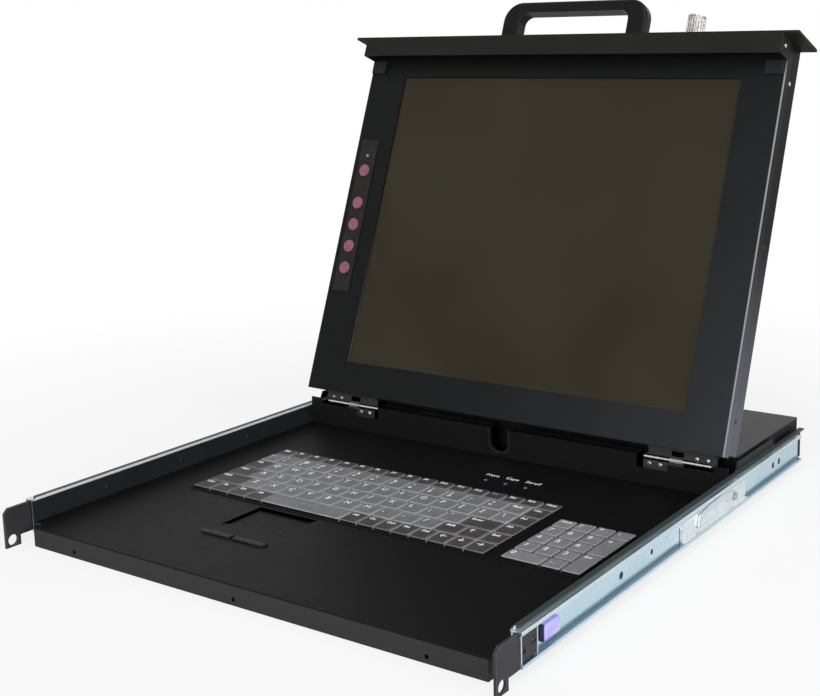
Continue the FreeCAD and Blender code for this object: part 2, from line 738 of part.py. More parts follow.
def side_wall():
    """The tray's side wall with its raised rear tab and the foot under the deck."""
    tab_back = S.tab_front + S.tab_length
    rise = (S.tab_top - wall_edge) * 0.5
    wall = Piece("side_wall")
    wall.pad("YZ", wall_inner, S.sheet, corners(
        (S.wall_front, S.wall_bottom), (S.tray_depth, S.wall_bottom), (S.tray_depth, wall_edge),
        (tab_back + rise, wall_edge), (tab_back, S.tab_top), (S.tab_front, S.tab_top),
        (S.tab_front - rise, wall_edge), (S.wall_front, wall_edge)))
    wall.fillet(S.wall_round, X_AXIS, lambda at: near(at.y, S.wall_front) and near(at.z, wall_edge))
    wall.pad("XY", deck_under - S.sheet, S.sheet,
             box(tray_half + S.seat_gap, S.wall_front, wall_inner, S.tray_depth))
    wall.pad("XY", wall_top, S.sheet, box(wall_inner, S.wall_front + S.wall_round,
                                          wall_outer + S.wall_cap, S.tray_depth))
    keep_pair(wall.body, "side_wall")


def wall_rivets():
    """Rivets inside the side walls that hold the slide members."""
    level = (S.deck_top + wall_top) * 0.5 - S.sheet
    places = []
    for step in range(4):
        y = S.wall_front + S.rail_hole_y * 0.5 + S.key_unit * 4 * step
        places.append((wall_inner - S.rivet_rise, y, level))
        places.append((-wall_inner, y, level))
    keep_part(heads("wall_rivets", "X", S.rivet, S.rivet_rise, places), "wall_rivets")


def bulkhead():
    """The wall behind the deck, with hinge windows and the cable notch."""
    half = wall_inner - S.seat_gap * 0.5
    flange_low = S.bulkhead_top - S.sheet
    wall = Piece("bulkhead")
    wall.pad("XZ", S.bulkhead_y, S.sheet, corners(
        (-half, S.deck_top), (half, S.deck_top), (half, S.bulkhead_top),
        (window_outer, S.bulkhead_top), (window_outer, S.window_high),
        (knuckle_inner, S.window_high), (knuckle_inner, S.window_low),
        (window_inner, S.window_low), (window_inner, S.bulkhead_top),
        (-window_inner, S.bulkhead_top), (-window_inner, S.window_low),
        (-knuckle_inner, S.window_low), (-knuckle_inner, S.window_high),
        (-window_outer, S.window_high), (-window_outer, S.bulkhead_top),
        (-half, S.bulkhead_top)))
    wall.pad("XY", flange_low, S.sheet, box(-window_inner, S.bulkhead_y, window_inner,
                                            S.bulkhead_y + S.bulkhead_flange))
    wall.pocket("XZ", S.bulkhead_y, S.bulkhead_flange,
                box(-S.notch_half, S.notch_bottom, S.notch_half, S.bulkhead_top))
    wall.fillet(S.notch_round, Y_AXIS, lambda at: near(at.z, S.notch_bottom))
    wall.fillet(S.sheet * 0.8, X_AXIS, lambda at: near(at.y, S.bulkhead_y) and near(at.z, S.bulkhead_top)
                and abs(at.x) < window_inner.value)
    keep_piece(wall)


def notch_grommet():
    """The plastic edging that lines the cable notch and stands proud of the wall."""
    top = S.bulkhead_top
    inner = S.notch_half - S.grommet
    front = S.bulkhead_y - S.grommet * 0.4
    depth = S.sheet + S.grommet * 0.8
    edging = Piece("notch_grommet")
    edging.pad("XZ", front, depth, box(-S.notch_half, S.notch_bottom, S.notch_half, top))
    edging.pocket("XZ", front, depth, box(-inner, S.notch_bottom + S.grommet, inner, top))
    edging.fillet(S.notch_round - S.grommet, Y_AXIS,
                  lambda at: near(at.z, S.notch_bottom + S.grommet))
    edging.fillet(S.notch_round, Y_AXIS, lambda at: near(at.z, S.notch_bottom))
    keep_piece(edging)


def chassis_leaf():
    """The hinge leaf on the bulkhead, with its knuckle round the rod."""
    behind = S.bulkhead_y + S.sheet
    leaf = Piece("chassis_leaf")
    leaf.pad("XZ", behind, S.leaf_sheet, box(rod_inner + S.leaf_sheet, S.leaf_bottom,
                                             knuckle_outer, S.leaf_top))
    leaf.pad("YZ", knuckle_inner, knuckle_outer - knuckle_inner, corners(
        (behind, S.leaf_bottom), (behind + S.leaf_sheet, S.leaf_bottom),
        (S.hinge_y + S.knuckle * 0.8, S.hinge_z - S.knuckle * 0.4),
        (S.hinge_y - S.knuckle * 0.5, S.hinge_z), (behind, S.leaf_top)))
    leaf.pad("YZ", knuckle_inner, knuckle_outer - knuckle_inner,
             disc(S.hinge_y, S.hinge_z, S.knuckle))
    leaf.pocket("YZ", knuckle_inner, knuckle_outer - knuckle_inner,
                disc(S.hinge_y, S.hinge_z, S.rod + S.run_gap))
    keep_both(leaf.body, "chassis_leaves")


def leaf_screws():
    """Screws in the chassis leaves, seen through the hinge windows."""
    level = S.leaf_top - S.small_screw * 1.3
    front = S.bulkhead_y + S.sheet - S.screw_rise
    first = rod_inner + S.small_screw * 3.5
    places = []
    for x in (first, first + S.small_screw * 5):
        places += [(x, front, level), (-x, front, level)]
    keep_part(heads("leaf_screws", "Y", S.small_screw, S.screw_rise, places), "leaf_screws")


def rear_housing():
    """The housing behind the hinge: front and side walls on the deck."""
    top = S.housing_top - S.sheet
    inside = housing_half - S.sheet
    housing = Piece("rear_housing")
    housing.pad("XY", S.deck_top, top - S.deck_top, corners(
        (-housing_half, S.housing_front), (housing_half, S.housing_front),
        (housing_half, S.tray_depth - S.sheet), (inside, S.tray_depth - S.sheet),
        (inside, S.housing_front + S.sheet), (-inside, S.housing_front + S.sheet),
        (-inside, S.tray_depth - S.sheet), (-housing_half, S.tray_depth - S.sheet)))
    slots = []
    for step in range(8):
        y = S.tray_depth - S.tab_length * 0.75 + S.sheet * 4 * step
        slots.append(box(y, S.deck_top + S.sheet * 6, y + S.sheet * 2, top - S.sheet * 4))
    housing.pocket("YZ", inside, S.sheet, *slots)
    housing.pocket("YZ", -housing_half, S.sheet, *slots)
    keep_piece(housing)


def rear_cover():
    """The lid of the rear housing."""
    cover = Piece("rear_cover")
    cover.pad("XY", S.housing_top - S.sheet, S.sheet,
              box(-housing_half, S.housing_front, housing_half, S.tray_depth))
    cover.fillet(S.sheet * 0.8, X_AXIS, lambda at: near(at.y, S.housing_front) and near(at.z, S.housing_top))
    keep_piece(cover)


class Port:
    """A rear socket: its place across the housing, its size, and its wall."""

    def __init__(self, label, across, width, height, lift, depth, wall):
        self.label = label
        self.middle = housing_half * across
        self.half = width * 0.5
        self.low = S.deck_top + lift
        self.height = height
        self.depth = depth
        self.wall = wall

    def outline(self, grow):
        """Its outline, grown on every side."""
        reach = as_size(self.half) + grow
        return box(self.middle - reach, self.low - grow, self.middle + reach, self.low + self.height + grow)


PORTS = [
    Port("power_inlet", across=-0.72, width=27, height=20, lift=3, depth=18, wall=2),
    Port("video_port", across=0.29, width=17, height=9, lift=8, depth=12, wall=1.5),
    Port("usb_port", across=0.48, width=12, height=11, lift=7, depth=14, wall=1.5),
]


def rear_panel():
    """The rear panel with its port cut-outs."""
    panel = Piece("rear_panel")
    panel.pad("XZ", S.tray_depth - S.sheet, S.sheet,
              box(-housing_half, S.deck_top, housing_half, S.housing_top - S.sheet),
              *[port.outline(S.run_gap) for port in PORTS])
    keep_piece(panel)


def rear_ports():
    """The power inlet, the video socket and the USB socket."""
    inside = S.tray_depth - S.sheet
    sockets = []
    for port in PORTS:
        socket = Piece(port.label)
        socket.pad("XZ", inside - port.depth, S.sheet + port.depth, port.outline(0))
        socket.pocket("XZ", inside - port.depth + port.wall, S.sheet + port.depth - port.wall,
                      port.outline(-port.wall))
        sockets.append(socket.body)
    keep_part(group("rear_ports", sockets), "rear_ports")


def circuit_boards():
    """The control board and the power supply in the rear housing."""
    lift = S.deck_top + S.sheet * 2
    front = S.housing_front + S.sheet * 8
    back = S.tray_depth - S.sheet * 14
    left = housing_half * 0.1
    right = housing_half * 0.77
    inset = S.board_post * 2.5
    posts = [disc(x, y, S.board_post) for x in (left + inset, right - inset)
             for y in (front + inset, back - inset)]
    board = Piece("control_board")
    board.pad("XY", lift, S.board_sheet, box(left, front, right, back))
    board.pad("XY", S.deck_top, S.sheet * 2, *posts)
    board.pad("XY", lift + S.board_sheet, S.sheet * 2,
              box(left + S.chip, front + S.chip, left + S.chip * 2, front + S.chip * 2),
              box(right - S.chip * 2, front + S.chip, right - S.chip, front + S.chip * 2))
    keep_piece(board)

    supply = Piece("power_supply")
    supply.pad("XY", S.deck_top, S.housing_top - S.sheet * 3 - S.deck_top,
               box(housing_half * -0.92, front, housing_half * -0.2, S.tray_depth - S.sheet * 20))
    keep_piece(supply)


# ---------------------------------------------------------------- keyboard

def keyboard_base():
    """The keyboard's tub under the deck, with two frames that stand round the keys."""
    main = board_opening()
    numbers = number_opening()
    gap = S.run_gap * 2
    edge = S.board_border - S.key_gap * 0.5
    flange = S.board_border
    base = Piece("keyboard_tub")
    base.pad("XY", S.board_base, deck_under - S.board_base,
             box(main[0] - flange, main[1] - flange, numbers[2] + flange, main[3] + flange))
    for left, front, right, back in (main, numbers):
        base.pad("XY", deck_under, S.sheet * 1.5, box(left + gap, front + gap, right - gap, back - gap))
        base.pocket("XY", S.board_floor, S.deck_top - S.board_floor + S.sheet,
                    box(left + edge, front + edge, right - edge, back - edge))
    wells = doc.addObject("Part::Cut", "keyboard_base")
    wells.Base = base.body
    wells.Tool = group("stem_wells", stem_wells)
    keep_part(wells, "keyboard_base")


def block(label, low, high):
    """A box between two opposite corners."""
    thing = doc.addObject("Part::Box", label)
    for name, start, end in zip(("Length", "Width", "Height"), low, high):
        bind(thing, name, as_size(end) - start)
    for name, size in zip(("x", "y", "z"), low):
        bind(thing, "Placement.Base." + name, size)
    return thing


stem_wells = []


def key(left, right, front, back):
    """One tapered key cap on its stem, which runs in a well of the keyboard's tub."""
    gap = S.key_gap * 0.5
    under = S.key_top - S.key_height
    cap = doc.addObject("Part::Wedge", "key")
    cap.Placement = FreeCAD.Placement(FreeCAD.Vector(), FreeCAD.Rotation(X_AXIS, 90))
    bind(cap, "Placement.Base.z", under)
    for name, size in (("Xmin", left + gap), ("Xmax", right - gap), ("Ymin", as_size(0)),
                       ("Ymax", S.key_height), ("Zmin", gap - back), ("Zmax", -front - gap),
                       ("X2min", left + gap + S.key_lean), ("X2max", right - gap - S.key_lean),
                       ("Z2min", gap - back + S.key_lean), ("Z2max", -front - gap - S.key_lean)):
        bind(cap, name, size)
    x = (left + right) * 0.5
    y = (front + back) * 0.5
    half = S.stem * 0.5
    stem_low = S.board_floor - S.stem_hold
    stem = block("stem", (x - half, y - half, stem_low), (x + half, y + half, under))
    half = half + S.stem_play
    stem_wells.append(block("well", (x - half, y - half, stem_low - S.key_travel - S.stem_play),
                            (x + half, y + half, S.board_floor)))
    whole = doc.addObject("Part::MultiFuse", "key_with_stem")
    whole.Shapes = [cap, stem]
    return whole


def key_row(widths, back, depth):
    """A row of keys from the left edge of the key block."""
    left = board_left
    caps = []
    for width in widths:
        right = left + width
        caps.append(key(left, right, back - depth, back))
        left = right
    return caps


def total(widths):
    """The sum of some widths."""
    length = as_size(0)
    for width in widths:
        length = length + width
    return length


# widths of keys, in letter keys
TAB_KEY = 1.07
CAPS_KEY = 1.27
SHIFT_KEY = 1.76
UP_KEY = 1.08
CONTROL_KEY = 0.9675
SPACE_BAR = 4.1


def main_keys():
    """The six rows of the main key block; the space bar is a node of its own."""
    right = S.board_width - S.side_column
    unit = S.key_unit
    top = key_row([top_unit] * int(S.top_keys.value), S.board_back, S.top_row)
    keep_part(group("function_keys", top), "function_keys")

    back = S.board_back - S.top_row
    caps = []
    for first, letters, extra in ((top_unit, 12, []), (unit * TAB_KEY, 12, []), (unit * CAPS_KEY, 11, []),
                                  (unit * SHIFT_KEY, 10, [unit * UP_KEY])):
        widths = [first] + [unit] * letters + extra
        caps += key_row(widths + [right - total(widths), S.side_column], back, S.key_row)
        back = back - S.key_row
    keep_part(group("character_keys", caps), "character_keys")

    start = [unit * CONTROL_KEY] * 4
    space = unit * SPACE_BAR
    rest = (right - total(start) - space) * (1 / 7)
    caps = key_row(start + [space] + [rest] * 7 + [S.side_column], back, S.key_row)
    keep_part(caps.pop(4), "space_bar")
    keep_part(group("bottom_row_keys", caps), "bottom_row_keys")


def numeric_keys():
    """The numeric pad: double zero, plus and enter keys."""
    unit = S.pad_unit
    deep = S.pad_row
    left = pad_left
    back = S.pad_back_y
    caps = []
    for row in range(4):
        for column in range(3):
            caps.append(key(left + unit * column, left + unit * (column + 1),
                            back - deep * (row + 1), back - deep * row))
    caps.append(key(left + unit * 3, left + unit * 4, back - deep, back))
    caps.append(key(left + unit * 3, left + unit * 4, back - deep * 3, back - deep))
    caps.append(key(left + unit * 3, left + unit * 4, back - deep * 5, back - deep * 3))
    caps.append(key(left, left + unit * 2, back - deep * 5, back - deep * 4))
    caps.append(key(left + unit * 2, left + unit * 3, back - deep * 5, back - deep * 4))
    keep_part(group("numeric_keys", caps), "numeric_keys")


def touchpad():
    """The bevelled rim and the touch surface in it."""
    left, front, right, back = touch_opening()
    gap = S.run_gap * 2
    low = deck_under - S.sheet
    bevel = S.touch_bevel
    rim = Piece("touchpad_rim")
    rim.pad("XY", low, S.deck_top - low, box(left + gap, front + gap, right - gap, back - gap),
            box(left + bevel, front + bevel, right - bevel, back - bevel))
    rim.chamfer(S.touch_sink, Y_AXIS, lambda at: near(at.z, S.deck_top) and (
        near(at.x, left + bevel) or near(at.x, right - bevel)))
    keep_piece(rim)

    surface = Piece("touchpad")
    top = S.deck_top - S.touch_sink
    surface.pad("XY", S.board_base, top - S.board_base,
                box(left + bevel + gap, front + bevel + gap, right - bevel - gap, back - bevel - gap))
    keep_piece(surface)


def touch_buttons():
    """Two touchpad buttons, each with a curved front."""
    back = S.touch_button_back
    front = back - S.touch_button_deep
    base = S.deck_top - S.key_height
    for number, label in enumerate(("left_touch_button", "right_touch_button")):
        left, right = touch_button_span(number)
        outer = left if number == 0 else right
        button = Piece(label)
        button.pad("XY", base, S.key_height + S.touch_button_rise, box(left, front, right, back))
        button.fillet(S.touch_button_round, Z_AXIS,
                      lambda at: near(at.x, outer) and near(at.y, front))
        button.fillet(S.touch_button_rise * 0.6, X_AXIS,
                      lambda at: near(at.z, S.deck_top + S.touch_button_rise))
        keep_piece(button)


def lock_lights():
    """Three indicator lights behind the keyboard."""
    right = board_left + S.board_width
    rise = S.run_gap * 6
    back = S.board_back + S.light_behind
    places = [(right - S.light_inset + S.key_unit * step, back, S.deck_top) for step in range(3)]
    keep_part(heads("lock_lights", "Z", S.led, rise, places), "lock_lights")


# ---------------------------------------------------------------- LCD lid

def bezel():
    """The front half of the LCD housing with the screen opening."""
    low = S.lcd_bottom
    v0 = low + S.screen_low
    v1 = low + screen_high
    frame = Piece("lcd_bezel")
    frame.pad("XZ", lcd_face, S.bezel_depth, box(-lcd_half, low, lcd_half, lcd_top))
    frame.fillet(S.bezel_round, Z_AXIS, lambda at: near(at.y, lcd_face))
    frame.pocket("XZ", lcd_face + S.bezel_face, S.bezel_depth - S.bezel_face,
                 box(-lcd_half + S.shell, low + S.shell, lcd_half - S.shell, lcd_top - S.shell))
    frame.pocket("XZ", lcd_face, S.bezel_face, box(-screen_left, v0, screen_right, v1))
    seats = [disc(-button_x, low + v, S.button + S.button_play) for v in button_levels()]
    frame.pocket("XZ", lcd_face, S.bezel_face, *seats)
    frame.on_lcd()
    keep_piece(frame)


def button_levels():
    """Heights of the five buttons over the LCD's lower edge."""
    return [S.power_button_v] + [S.menu_button_v - S.menu_pitch * step for step in range(4)]


def back_cover():
    """The rear half of the LCD housing, a shallow metal tray with vents."""
    low = S.lcd_bottom + S.cover_lift
    half = lcd_half - S.cover_lift
    cover = Piece("lcd_back_cover")
    cover.pad("XZ", parting, S.lcd_depth - S.bezel_depth, box(-half, low, half, lcd_top))
    cover.fillet(S.bezel_round, Z_AXIS, lambda at: near(at.y, lcd_back))
    cover.fillet(S.bezel_round, X_AXIS, lambda at: near(at.y, lcd_back) and near(at.z, low))
    cover.pocket("XZ", parting, S.lcd_depth - S.bezel_depth - S.shell,
                 box(-half + S.shell, low + S.shell, half - S.shell, lcd_top - S.shell))
    slots = []
    for row in range(2):
        for step in range(12):
            x = lcd_half * 0.08 * (step - 5.5)
            v = S.lcd_height * (0.25 + 0.45 * row)
            slots.append(box(x - S.shell, low + v, x + S.shell, low + v + S.key_row * 2))
    cover.pocket("XZ", lcd_back - S.shell, S.shell, *slots)
    cover.on_lcd()
    keep_piece(cover)


def screen():
    """The glass of the screen, its metal module and the driver board."""
    low = S.lcd_bottom
    v0 = low + S.screen_low
    v1 = low + screen_high
    gap = S.run_gap * 2
    behind = lcd_face + S.bezel_face
    glass = Piece("lcd_screen")
    glass.pad("XZ", screen_level, behind - screen_level,
              box(-screen_left + gap, v0 + gap, screen_right - gap, v1 - gap))
    glass.on_lcd()
    keep_piece(glass)

    border = S.module_border
    module = Piece("lcd_module")
    module.pad("XZ", behind, S.module_depth,
               box(-screen_left - border, v0 - border, screen_right + border, v1 + border))
    module.on_lcd()
    keep_piece(module)

    board = Piece("driver_board")
    board.pad("XZ", behind + S.module_depth, S.board_sheet,
              box(lcd_half * -0.58, low + S.lcd_height * 0.18, lcd_half * 0.29, low + S.lcd_height * 0.45))
    board.on_lcd()
    keep_piece(board)


def button_strip():
    """The strip that names the buttons, and the power light in it."""
    low = S.lcd_bottom
    inner = -strip_left + S.strip_wide
    holes = [disc(-button_x, low + v, S.button + S.button_play) for v in button_levels()]
    strip = Piece("button_strip")
    strip.pad("XZ", lcd_face - S.strip_thick, S.strip_thick,
              box(-strip_left, low + S.strip_low, inner, low + S.strip_low + S.strip_high), *holes)
    strip.on_lcd()
    keep_piece(strip)

    light = cylinder("light", "Y", S.led, S.run_gap * 8,
                     (-button_x, lcd_face - S.strip_thick - S.run_gap * 8, low + S.led_v))
    lights = group("power_lights", [light])
    lean_with_lcd(lights)
    keep_part(lights, "power_light")


def lid_buttons():
    """The five round buttons, each with a flange behind the bezel."""
    names = ("power_button", "menu_button_a", "menu_button_b", "menu_button_c", "menu_button_d")
    face = lcd_face - S.button_rise
    behind = lcd_face + S.bezel_face
    for name, level in zip(names, button_levels()):
        v = S.lcd_bottom + level
        button = Piece(name)
        button.pad("XZ", face, S.button_rise + S.bezel_face + S.slide_gap, disc(-button_x, v, S.button))
        button.pad("XZ", behind + S.slide_gap, S.sheet, disc(-button_x, v, S.button + S.sheet))
        button.on_lcd()
        keep_piece(button)


def corner_pads():
    """Two rubber pads in the upper corners of the bezel."""
    top = lcd_top - S.pad_drop
    pad = Piece("corner_pad")
    pad.pad("XZ", lcd_face - S.pad_thick, S.pad_thick,
            box(lcd_half - S.pad_long, top - S.pad_high, lcd_half - S.bezel_round, top))
    pad.chamfer(S.pad_thick * 0.4, X_AXIS, lambda at: near(at.y, lcd_face - S.pad_thick))
    pad.on_lcd()
    keep_both(pad.body, "corner_pads")


def lid_screws():
    """Small screws in the sides of the LCD housing and in the LCD leaves."""
    levels = [S.lcd_bottom + S.screen_low, S.lcd_bottom + S.lcd_height * 0.5,
              S.lcd_bottom + screen_high]
    middle = parting + S.bezel_depth * 0.5
    rise = S.run_gap * 8
    half = lcd_half - S.cover_lift
    heads_on_lid = []
    for level in levels:
        heads_on_lid.append(cylinder("side_head", "X", S.small_screw, rise, (half, middle, level)))
        heads_on_lid.append(cylinder("side_head", "X", S.small_screw, rise, (-half - rise, middle, level)))
    first = rod_outer - S.small_screw * 7
    for x in (first, first + S.small_screw * 5):
        for across in (x, -x):
            at = (across, leaf_face - rise, S.lcd_bottom * 0.53)
            heads_on_lid.append(cylinder("leaf_head", "Y", S.small_screw * 0.8, rise, at))
    screws = group("lcd_screws", heads_on_lid)
    lean_with_lcd(screws)
    keep_part(screws, "lcd_screws")


def front_panel():
    """The rack-wide front panel on the LCD's upper end."""
    panel = Piece("front_panel")
    panel.pad("XY", lcd_top, S.panel_sheet,
              box(-panel_half, panel_front_edge, panel_half, panel_front_edge + S.panel_height))
    panel.fillet(S.panel_sheet * 0.5, Z_AXIS, lambda at: abs(at.x) > lcd_half.value)
    panel.on_lcd()
    keep_piece(panel)

    low = lcd_top - S.skirt_depth
    inside = lcd_half - S.skirt_sheet
    skirt = Piece("panel_skirt")
    skirt.pad("XY", low, S.skirt_depth, corners(
        (-lcd_half, lcd_face), (-lcd_half, panel_front_edge), (lcd_half, panel_front_edge),
        (lcd_half, lcd_face), (inside, lcd_face), (inside, panel_front_edge + S.skirt_sheet),
        (-inside, panel_front_edge + S.skirt_sheet), (-inside, lcd_face)))
    skirt.fillet(S.skirt_sheet * 0.8, Z_AXIS, lambda at: near(at.y, panel_front_edge))
    skirt.on_lcd()
    keep_piece(skirt)


def handle():
    """The cast bow handle on the front panel, and its two screws."""
    left = S.handle_middle - S.handle_half
    right = S.handle_middle + S.handle_half
    reach = panel_outer + S.handle_reach
    under = reach - S.handle_bar
    leg = S.handle_leg
    middle = panel_front_edge + S.panel_height * 0.5
    bow = Piece("handle")
    bow.pad("XZ", middle - S.handle_width * 0.5, S.handle_width, corners(
        (left, panel_outer), (left + leg, panel_outer), (left + leg, under), (right - leg, under),
        (right - leg, panel_outer), (right, panel_outer), (right, reach), (left, reach)))
    bow.fillet(S.handle_corner, Y_AXIS, lambda at: near(at.z, reach))
    bow.fillet(S.handle_bar * 0.8, Y_AXIS, lambda at: near(at.z, under))
    bow.fillet(S.handle_ease, X_AXIS, lambda at: near(at.z, reach))
    bow.on_lcd()
    keep_piece(bow)


def thumb_screw():
    """The fluted thumb screw beside the handle."""
    middle = panel_front_edge + S.panel_height * 0.5
    base = panel_outer + S.slide_gap
    head = base + S.knob_stand
    screw = Piece("thumb_screw")
    screw.pad("XY", base, S.knob_stand, disc(S.knob_x, middle, S.knob_collar))
    screw.pad("XY", head, S.knob_length, disc(S.knob_x, middle, S.knob))
    flutes = []
    for number in range(int(S.knob_flutes.value)):
        angle = 2 * math.pi * number / S.knob_flutes.value
        flutes.append(disc(S.knob_x + S.knob * math.cos(angle), middle + S.knob * math.sin(angle), S.flute))
    screw.pocket("XY", head + S.sheet, S.knob_length - S.sheet * 2, *flutes)
    screw.on_lcd()
    keep_piece(screw)


def hinge_rod():
    """The hinge rod and the leaf that carries the LCD on it."""
    length = rod_outer - rod_inner
    rods = group("hinge_rods", [cylinder("rod", "X", S.rod, length, (rod_inner, 0, 0)),
                                cylinder("rod", "X", S.rod, length, (-rod_outer, 0, 0))])
    lean_with_lcd(rods)
    keep_part(rods, "hinge_rods")

    inner = rod_inner + S.sheet * 2
    outer = window_outer - S.seat_gap * 2
    foot = S.lcd_bottom - S.sheet
    leaf = Piece("lcd_leaf")
    leaf.pad("XY", foot, S.sheet, box(inner, -S.lcd_leaf_front, outer, S.lcd_leaf_back))
    leaf.pad("XZ", leaf_face, S.sheet, box(inner, 0, knuckle_inner - S.seat_gap, foot))
    leaf.pad("XZ", leaf_face, S.sheet, box(knuckle_outer + S.seat_gap, 0, outer, foot))
    leaf.pocket("YZ", inner, rod_outer - inner, disc(0, 0, S.rod))
    leaf.on_lcd()
    keep_both(leaf.body, "lcd_leaves")


def build():
    """Builds every sub-part."""
    rack_rail()
    rack_ear()
    ear_screws()
    slide_stop()
    lock_plate()
    release_lever()
    slide_member()
    ball_cage()
    tray_pan()
    bottom_cover()
    side_wall()
    wall_rivets()
    bulkhead()
    notch_grommet()
    chassis_leaf()
    leaf_screws()
    rear_housing()
    rear_cover()
    rear_panel()
    rear_ports()
    circuit_boards()
    main_keys()
    numeric_keys()
    keyboard_base()
    touchpad()
    touch_buttons()
    lock_lights()
    bezel()
    back_cover()
    screen()
    button_strip()
    lid_buttons()
    corner_pads()
    lid_screws()
    front_panel()
    handle()
    thumb_screw()
    hinge_rod()
    doc.recompute()


def check_document():
    """Stops if any object failed or any sub-part has no sound shape."""
    faults = [thing.Label + ": " + str(thing.State) for thing in doc.Objects
              if "Invalid" in thing.State or "Error" in thing.State]
    faults += [part.Label + ": no valid solid" for part in subparts
               if part.Shape.isNull() or not part.Shape.isValid() or not part.Shape.Solids]
    if faults:
        raise RuntimeError("; ".join(faults))


def write_parts():
    """Writes each sub-part under its own name."""
    os.makedirs("parts", exist_ok=True)
    for part in subparts:
        part.Shape.exportStep(os.path.join("parts", part.Label + ".step"))
        print(part.Label, len(part.Shape.Solids), "solids", round(part.Shape.Volume, 1), "mm3")


build()
check_document()
write_parts()
print(len(subparts), "sub-parts")
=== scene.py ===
"""Looks of the rack console drawer: finishes, key caps, legends, screws, sockets and studio."""

import json
import math

import bmesh
import bpy
from mathutils import Matrix, Vector


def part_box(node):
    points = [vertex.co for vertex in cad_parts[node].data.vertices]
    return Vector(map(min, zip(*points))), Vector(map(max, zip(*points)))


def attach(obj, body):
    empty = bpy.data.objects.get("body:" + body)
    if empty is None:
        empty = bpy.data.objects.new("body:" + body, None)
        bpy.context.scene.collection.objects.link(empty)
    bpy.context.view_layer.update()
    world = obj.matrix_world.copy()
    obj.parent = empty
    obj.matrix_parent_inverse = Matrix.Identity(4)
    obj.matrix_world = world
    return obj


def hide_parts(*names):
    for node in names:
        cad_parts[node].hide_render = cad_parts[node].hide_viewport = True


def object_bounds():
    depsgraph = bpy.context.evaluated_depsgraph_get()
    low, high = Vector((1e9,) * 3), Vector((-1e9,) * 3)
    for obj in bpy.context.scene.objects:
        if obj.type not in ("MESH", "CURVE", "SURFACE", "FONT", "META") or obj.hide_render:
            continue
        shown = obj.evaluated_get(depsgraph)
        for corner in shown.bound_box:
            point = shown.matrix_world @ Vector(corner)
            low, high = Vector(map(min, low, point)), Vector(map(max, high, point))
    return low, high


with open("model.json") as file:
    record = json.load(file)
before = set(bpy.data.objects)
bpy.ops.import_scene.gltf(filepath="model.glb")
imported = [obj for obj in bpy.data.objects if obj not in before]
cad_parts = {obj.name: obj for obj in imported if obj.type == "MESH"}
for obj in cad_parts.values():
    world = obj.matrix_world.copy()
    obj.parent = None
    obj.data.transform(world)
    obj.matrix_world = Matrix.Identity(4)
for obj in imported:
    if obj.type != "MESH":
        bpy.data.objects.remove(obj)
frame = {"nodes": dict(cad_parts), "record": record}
CAD_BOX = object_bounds()
NODES = frame["nodes"]
SLOTS = {part["node"]: part["material_slot"] for part in frame["record"]["subparts"]}
MM = 0.001
# the height of the side wall's rim, and a distance from the middle just outside the wall
WALL_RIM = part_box("slide_member_right")[1].z + 0.9 * MM
BESIDE_WALL = 211 * MM
LID_LEAN = math.radians(20.9)
LID_FRONT = Vector((0, -math.cos(LID_LEAN), math.sin(LID_LEAN)))
LID_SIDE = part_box("lcd_back_cover")[1].x


# ---------------------------------------------------------------- finishes

def linear(red, green, blue):
    """A colour given as 0-255 display values, as Blender's linear values."""
    def one(value):
        value /= 255
        return value / 12.92 if value <= 0.04045 else ((value + 0.055) / 1.055) ** 2.4
    return (one(red), one(green), one(blue), 1)


def maths(tree, operation, *values):
    """The result of a maths node on sockets or plain numbers."""
    node = tree.nodes.new("ShaderNodeMath")
    node.operation = operation
    for socket, value in zip(node.inputs, values):
        if isinstance(value, (int, float)):
            socket.default_value = value
        else:
            tree.links.new(value, socket)
    return node.outputs["Value"]


def drawn_out(length, along="Y"):
    """The stretch of a noise whose blobs are length times as long along one axis as across it."""
    return [length if axis == along else 1 for axis in "XYZ"]


FINISHES = {}


